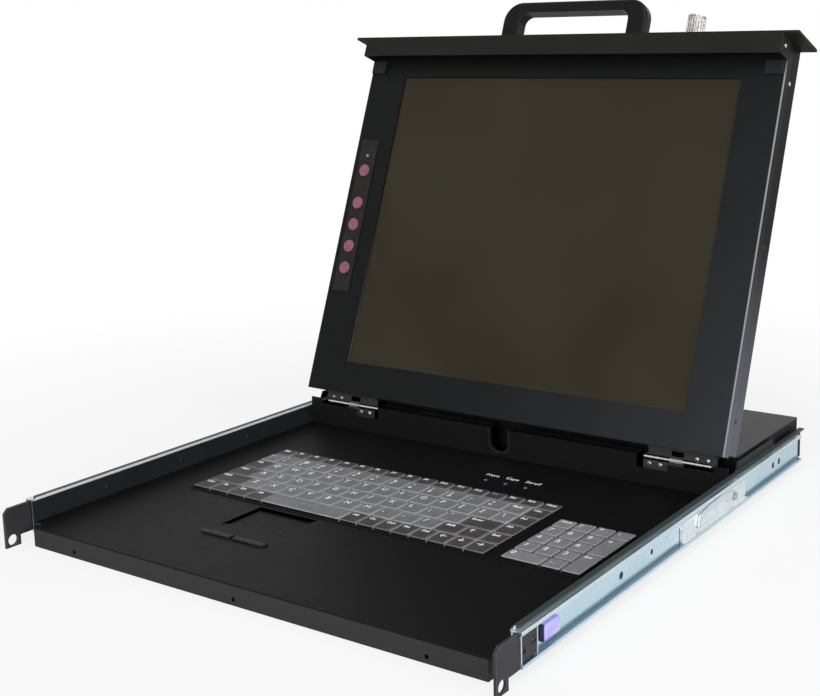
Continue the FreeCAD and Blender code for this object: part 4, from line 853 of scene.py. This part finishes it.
def in_lid_side(centre):
    """Whether a screw sits in one of the lid's side faces."""
    return abs(centre.x) > LID_SIDE - 1 * MM


def lid_ways(centre):
    """Screws at the lid's sides face sideways; those in its leaves face along its front."""
    return sideways(centre) if in_lid_side(centre) else LID_FRONT


def low_side_screw(centre):
    """The two lower screws in each of the lid's sides."""
    return in_lid_side(centre) and centre.z < 300 * MM


def pan_head(radius, rise, plain=False):
    """A pan head with a cross recess, or a plain dome: its seat at the origin, its top along +Z."""
    work = bmesh.new()
    profile = [(radius, 0)]
    for step in range(1, DOME_STEPS + 1):
        turn = math.radians(90 * step / DOME_STEPS)
        width = radius * math.cos(turn) ** 0.55 if step < DOME_STEPS else 0.02 * radius
        profile.append((width, rise * math.sin(turn)))
    lathe(work, Vector((0, 0, 0)), UP, profile, 20)
    bmesh.ops.recalc_face_normals(work, faces=work.faces)
    dome = bpy.data.meshes.new("head")
    work.to_mesh(dome)
    work.free()
    if plain:
        return dome
    cut = bmesh.new()
    arm = Matrix.Diagonal((radius * 1.25, radius * 0.26, rise * 1.2, 1))
    for turn in (0, 90):
        bmesh.ops.create_cube(cut, size=1, matrix=Matrix.Translation((0, 0, rise))
                              @ Matrix.Rotation(math.radians(turn), 4, "Z") @ arm)
    cross = bpy.data.meshes.new("cross")
    cut.to_mesh(cross)
    cut.free()
    head = new_object("head", dome)
    tool = new_object("cross", cross)
    boolean = head.modifiers.new("recess", "BOOLEAN")
    boolean.object = tool
    boolean.operation = "DIFFERENCE"
    boolean.use_self = True
    graph = bpy.context.evaluated_depsgraph_get()
    shaped = bpy.data.meshes.new_from_object(head.evaluated_get(graph))
    for thing in (head, tool):
        bpy.data.objects.remove(thing)
    return shaped


def turned_out(way):
    """The turn that takes a head's axis, +Z, to its way."""
    return way.to_track_quat("Z", "Y").to_matrix().to_4x4()


def dress_heads(node, body, outward, plain=False, black=None):
    """Shaped heads in place of a CAD node's plain ones: domed rivets or screws with a cross recess.

    outward gives a head's direction from its centre; black tells which heads are blackened."""
    work = bmesh.new()
    made = {}
    for number, (low, high) in enumerate(islands(node)):
        centre = (low + high) / 2
        size = high - low
        way = outward(centre)
        radius = max(size) / 2
        if abs(way.x) > 0.5:
            rise = size.x
        else:
            rise = (size.y - 2 * radius * abs(way.z)) / abs(way.y)
        kind = (round(radius, 5), round(rise, 5))
        if kind not in made:
            made[kind] = pan_head(radius, rise, plain)
        mesh = made[kind].copy()
        spin = Matrix.Rotation(math.radians(NEXT_CROSS * number), 4, "Z")
        mesh.transform(Matrix.Translation(centre - way * rise / 2) @ turned_out(way) @ spin)
        before = len(work.faces)
        work.from_mesh(mesh)
        if black and black(centre):
            work.faces.ensure_lookup_table()
            for face in work.faces[before:]:
                face.material_index = 1
    heads = piece(node + "_heads", work, finish_of(node), body, 35)
    heads.data.materials.append(FINISHES["black_screw"])
    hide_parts(node)


def skirt_screws():
    """A bright screw in each end of the front panel's skirt."""
    low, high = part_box("panel_skirt")
    back, up = SKIRT_SCREW_PLACE
    head = pan_head(*SKIRT_SCREW)
    work = bmesh.new()
    for side in (1, -1):
        place = Vector((side * high.x, low.y + back, low.z + up))
        mesh = head.copy()
        mesh.transform(Matrix.Translation(place) @ turned_out(Vector((side, 0, 0))))
        work.from_mesh(mesh)
    piece("skirt_screws", work, FINISHES["screw_steel"], "lcd", 35)


# ---------------------------------------------------------------- rail details

# the rail's holes that show no part behind them, in mm: their place (y, z) and a radius that
# covers them; a black disc behind each is painted shade
RAIL_HOLES = ((133, 18.05, 2.55), (176, 19.15, 1.85), (390.5, 18.05, 2.55), (403.3, 18.05, 2.55))
HEM = 2.2 * MM
WEB = 0.9 * MM
BACK = 0.2 * MM
FOLD = 0.7 * MM


def slab(work, low, high):
    """Adds a box given by its low and high corners."""
    middle = [(a + b) / 2 for a, b in zip(low, high)]
    size = [b - a for a, b in zip(low, high)]
    bmesh.ops.create_cube(work, size=1,
                          matrix=Matrix.Translation(middle) @ Matrix.Diagonal((*size, 1)))


def on_both_sides(build):
    """A bmesh filled by build(work, side), once for the right side and once for the left."""
    work = bmesh.new()
    for side in (1, -1):
        build(work, side)
    return work


def side_slab(work, side, inner, outer, low, high):
    """Adds a box between two distances from the middle, on one side; low and high are (y, z)."""
    left, right = (inner, outer) if side > 0 else (-outer, -inner)
    slab(work, (left, *low), (right, *high))


def rail_dressing():
    """Painted shade behind the rail's holes, the bright folds round its front end, and painted
    shade over the stops' front faces.
    """
    low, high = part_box("rack_rail_right")
    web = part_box("rack_ear_right")[0].x
    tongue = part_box("rack_ear_right")[1]
    stop_low, stop_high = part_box("slide_stops")
    hem = low.z + HEM

    # black discs behind the holes: painted shade
    def hole_shades(work, side):
        for y, z, radius in RAIL_HOLES:
            place = Vector((side * (web - WEB), y * MM, z * MM))
            disc = [(radius * MM, 0), (radius * MM, BACK)]
            lathe(work, place, Vector((side, 0, 0)), disc, 20)

    def folds(work, side):
        inner = tongue.x + 0.05 * MM
        for front, back in ((low.y, low.y + 1.1 * MM), (tongue.y - 0.9 * MM, tongue.y)):
            side_slab(work, side, inner, inner + FOLD, (front, hem), (back, high.z - 1.2 * MM))
        side_slab(work, side, high.x - 0.5 * MM, high.x - 0.02 * MM,
                  (low.y, high.z - 1.3 * MM), (tongue.y + 1 * MM, high.z - 0.05 * MM))

    # a thin dark slab over each stop's front face: painted shade
    def stop_front_shade(work, side):
        side_slab(work, side, web + 0.1 * MM, stop_high.x - 0.2 * MM,
                  (stop_low.y - 1.1 * MM, stop_low.z - 0.4 * MM),
                  (stop_low.y - 0.03 * MM, stop_high.z + 0.4 * MM))

    for name, build, finish, slot in (
            ("rail_hole_shades", hole_shades, "hole_shade_black", "zinc_steel"),
            ("rail_front_folds", folds, "lever_steel", "zinc_steel"),
            ("stop_front_shade_slabs", stop_front_shade, "stop_front_shade_paint", "lavender_plastic")):
        piece(name, on_both_sides(build), FINISHES[finish], "root")


# ---------------------------------------------------------------- rear sockets

# contacts and inserts, in mm: the place in the socket (right, up), width, height and reach
INLET_BLADES = [(right, up, 1.8, 5, 12.5) for right, up in ((-7, -1.6), (0, 2.4), (7, -1.6))]
VIDEO_PINS = [(2.3 * (column - 2), row, 0.8, 0.8, 8) for row in (-1.8, 0, 1.8)
              for column in range(5)]
VIDEO_INSERT = (0, 0, 12.4, 5.6, 6.5)
USB_PINS = [(right, up, 1.1, 0.4, 8.4) for right in (-1.4, 1.4) for up in (-1.7, 1.7)]
USB_TONGUE = (0, 0, 5.6, 3.2, 9)


def socket_contacts():
    """Blades in the power inlet, pins in the video socket and the tongue of the USB socket."""
    inlet, video, usb = sorted(islands("rear_ports"), key=lambda box: box[0].x)

    def studs(*sockets):
        work = bmesh.new()
        for (low, high), members in sockets:
            floor = low.y + 1.4 * MM
            for right, up, width, height, reach in members:
                x = (low.x + high.x) / 2 + right * MM
                z = (low.z + high.z) / 2 + up * MM
                slab(work, (x - width / 2 * MM, floor, z - height / 2 * MM),
                     (x + width / 2 * MM, floor + reach * MM, z + height / 2 * MM))
        return work

    metal = studs((inlet, INLET_BLADES), (video, VIDEO_PINS), (usb, USB_PINS))
    plastic = studs((video, [VIDEO_INSERT]), (usb, [USB_TONGUE]))
    piece("socket_pins", metal, FINISHES["contact_metal"], "drawer")
    piece("socket_inserts", plastic, FINISHES["insert_plastic"], "drawer")


# ---------------------------------------------------------------- studio and camera

WHITE = (1, 1, 1, 1)
SURROUND_AS_LIGHT = 0.42
SURROUND_IN_REFLECTIONS = 0.7
FLOOR_HALF = 6
FLOOR_LEVEL = CAD_BOX[0].z - 0.05 * MM
FLOOR_MIDDLE = (0, 0.23, FLOOR_LEVEL)
NEAR, FAR = 0.28, 0.95
WHITE_NEAR, WHITE_FAR = 0.78, 1.0


def mixed(tree, factor, first, second, output):
    """Sends a mix of two shader nodes to the output node's surface."""
    mix = tree.nodes.new("ShaderNodeMixShader")
    tree.links.new(factor, mix.inputs["Fac"])
    tree.links.new(first.outputs[0], mix.inputs[1])
    tree.links.new(second.outputs[0], mix.inputs[2])
    tree.links.new(mix.outputs[0], tree.nodes[output].inputs["Surface"])


def surround():
    """A surround that the camera sees white, and that lights the object less than it shows."""
    world = bpy.data.worlds.new("surround")
    bpy.context.scene.world = world
    world.use_nodes = True
    tree = world.node_tree
    dim = tree.nodes["Background"]
    bright = tree.nodes.new("ShaderNodeBackground")
    for background, strength in ((dim, SURROUND_AS_LIGHT), (bright, 1)):
        background.inputs["Color"].default_value = WHITE
        background.inputs["Strength"].default_value = strength
    rays = tree.nodes.new("ShaderNodeLightPath").outputs
    seen = maths(tree, "MAXIMUM", rays["Is Camera Ray"], rays["Is Transmission Ray"])
    reflected = maths(tree, "MULTIPLY", rays["Is Glossy Ray"], SURROUND_IN_REFLECTIONS)
    mixed(tree, maths(tree, "MAXIMUM", seen, reflected), dim, bright, "World Output")


def pale_floor():
    """The floor's material: pale near the object, where it takes the shadow, white further off."""
    pale = bpy.data.materials.new("pale_floor")
    pale.use_nodes = True
    tree = pale.node_tree
    shader = tree.nodes["Principled BSDF"]
    shader.inputs["Base Color"].default_value = (0.86, 0.86, 0.86, 1)
    shader.inputs["Roughness"].default_value = 0.9
    shader.inputs["Specular IOR Level"].default_value = 0.1
    white = tree.nodes.new("ShaderNodeEmission")
    white.inputs["Color"].default_value = WHITE
    white.inputs["Strength"].default_value = 1.0
    distance = tree.nodes.new("ShaderNodeVectorMath")
    distance.operation = "DISTANCE"
    distance.inputs[1].default_value = FLOOR_MIDDLE
    place = tree.nodes.new("ShaderNodeNewGeometry").outputs["Position"]
    tree.links.new(place, distance.inputs[0])
    fade = tree.nodes.new("ShaderNodeMapRange")
    fade.interpolation_type = "SMOOTHSTEP"
    fade.inputs["From Min"].default_value = NEAR
    fade.inputs["From Max"].default_value = FAR
    fade.inputs["To Min"].default_value = WHITE_NEAR
    fade.inputs["To Max"].default_value = WHITE_FAR
    tree.links.new(distance.outputs["Value"], fade.inputs["Value"])
    camera_ray = tree.nodes.new("ShaderNodeLightPath").outputs["Is Camera Ray"]
    share = maths(tree, "MULTIPLY", camera_ray, fade.outputs["Result"])
    mixed(tree, share, shader, white, "Material Output")
    return pale


def lamp(name, place, size, power):
    """A square soft lamp at place, turned towards the object."""
    data = bpy.data.lights.new(name, "AREA")
    data.shape = "SQUARE"
    data.size = size
    data.energy = power
    light = new_object(name, data)
    light.location = place
    light.rotation_mode = "QUATERNION"
    aim = Vector((0, 0.25, 0.1)) - Vector(place)
    light.rotation_quaternion = aim.to_track_quat("-Z", "Y")


def studio():
    """A pale floor with the object's shadow, a white surround and soft lamps."""
    surround()
    mesh = bpy.data.meshes.new("floor")
    corners = [(x * FLOOR_HALF, y * FLOOR_HALF, FLOOR_LEVEL)
               for x, y in ((-1, -1), (1, -1), (1, 1), (-1, 1))]
    mesh.from_pydata(corners, [], [(0, 1, 2, 3)])
    mesh.materials.append(pale_floor())
    floor = new_object("floor", mesh)
    lamp("key_light", (0.8, -0.8, 2.2), 1.3, 17)
    lamp("front_light", (0.5, -2.3, 0.5), 1.3, 26)
    lamp("side_light", (2.2, 0.1, 0.7), 1.4, 26)


def camera():
    """The photograph's view: from the right and a little above, with the lens shifted."""
    turn = math.radians(32.0)
    dip = math.radians(10.0)
    roll = math.radians(-0.6)
    ahead = Vector((-math.sin(turn) * math.cos(dip), math.cos(turn) * math.cos(dip),
                    -math.sin(dip)))
    level = Vector((math.cos(turn), math.sin(turn), 0))
    upright = level.cross(ahead)
    right = level * math.cos(roll) + upright * math.sin(roll)
    up = upright * math.cos(roll) - level * math.sin(roll)
    data = bpy.data.cameras.new("camera")
    data.sensor_width = 36
    data.lens = 56.41
    data.shift_x = -0.1649
    data.shift_y = -0.0873
    view = new_object("camera", data)
    place = Matrix.Translation((0.5878, -0.5555, 0.3524))
    view.matrix_world = place @ Matrix((right, up, -ahead)).transposed().to_4x4()
    bpy.context.scene.camera = view
    bpy.context.scene.view_settings.view_transform = "Standard"


make_finishes()
dress_nodes()
keyboard()
captions()
button_signs()
dress_heads("leaf_screws", "drawer", forwards)
dress_heads("lcd_screws", "lcd", lid_ways, black=low_side_screw)
skirt_screws()
dress_heads("ear_screws", "root", sideways)
dress_heads("wall_rivets", "drawer", inwards, plain=True)
rail_dressing()
socket_contacts()
studio()
camera()
bpy.context.view_layer.update()
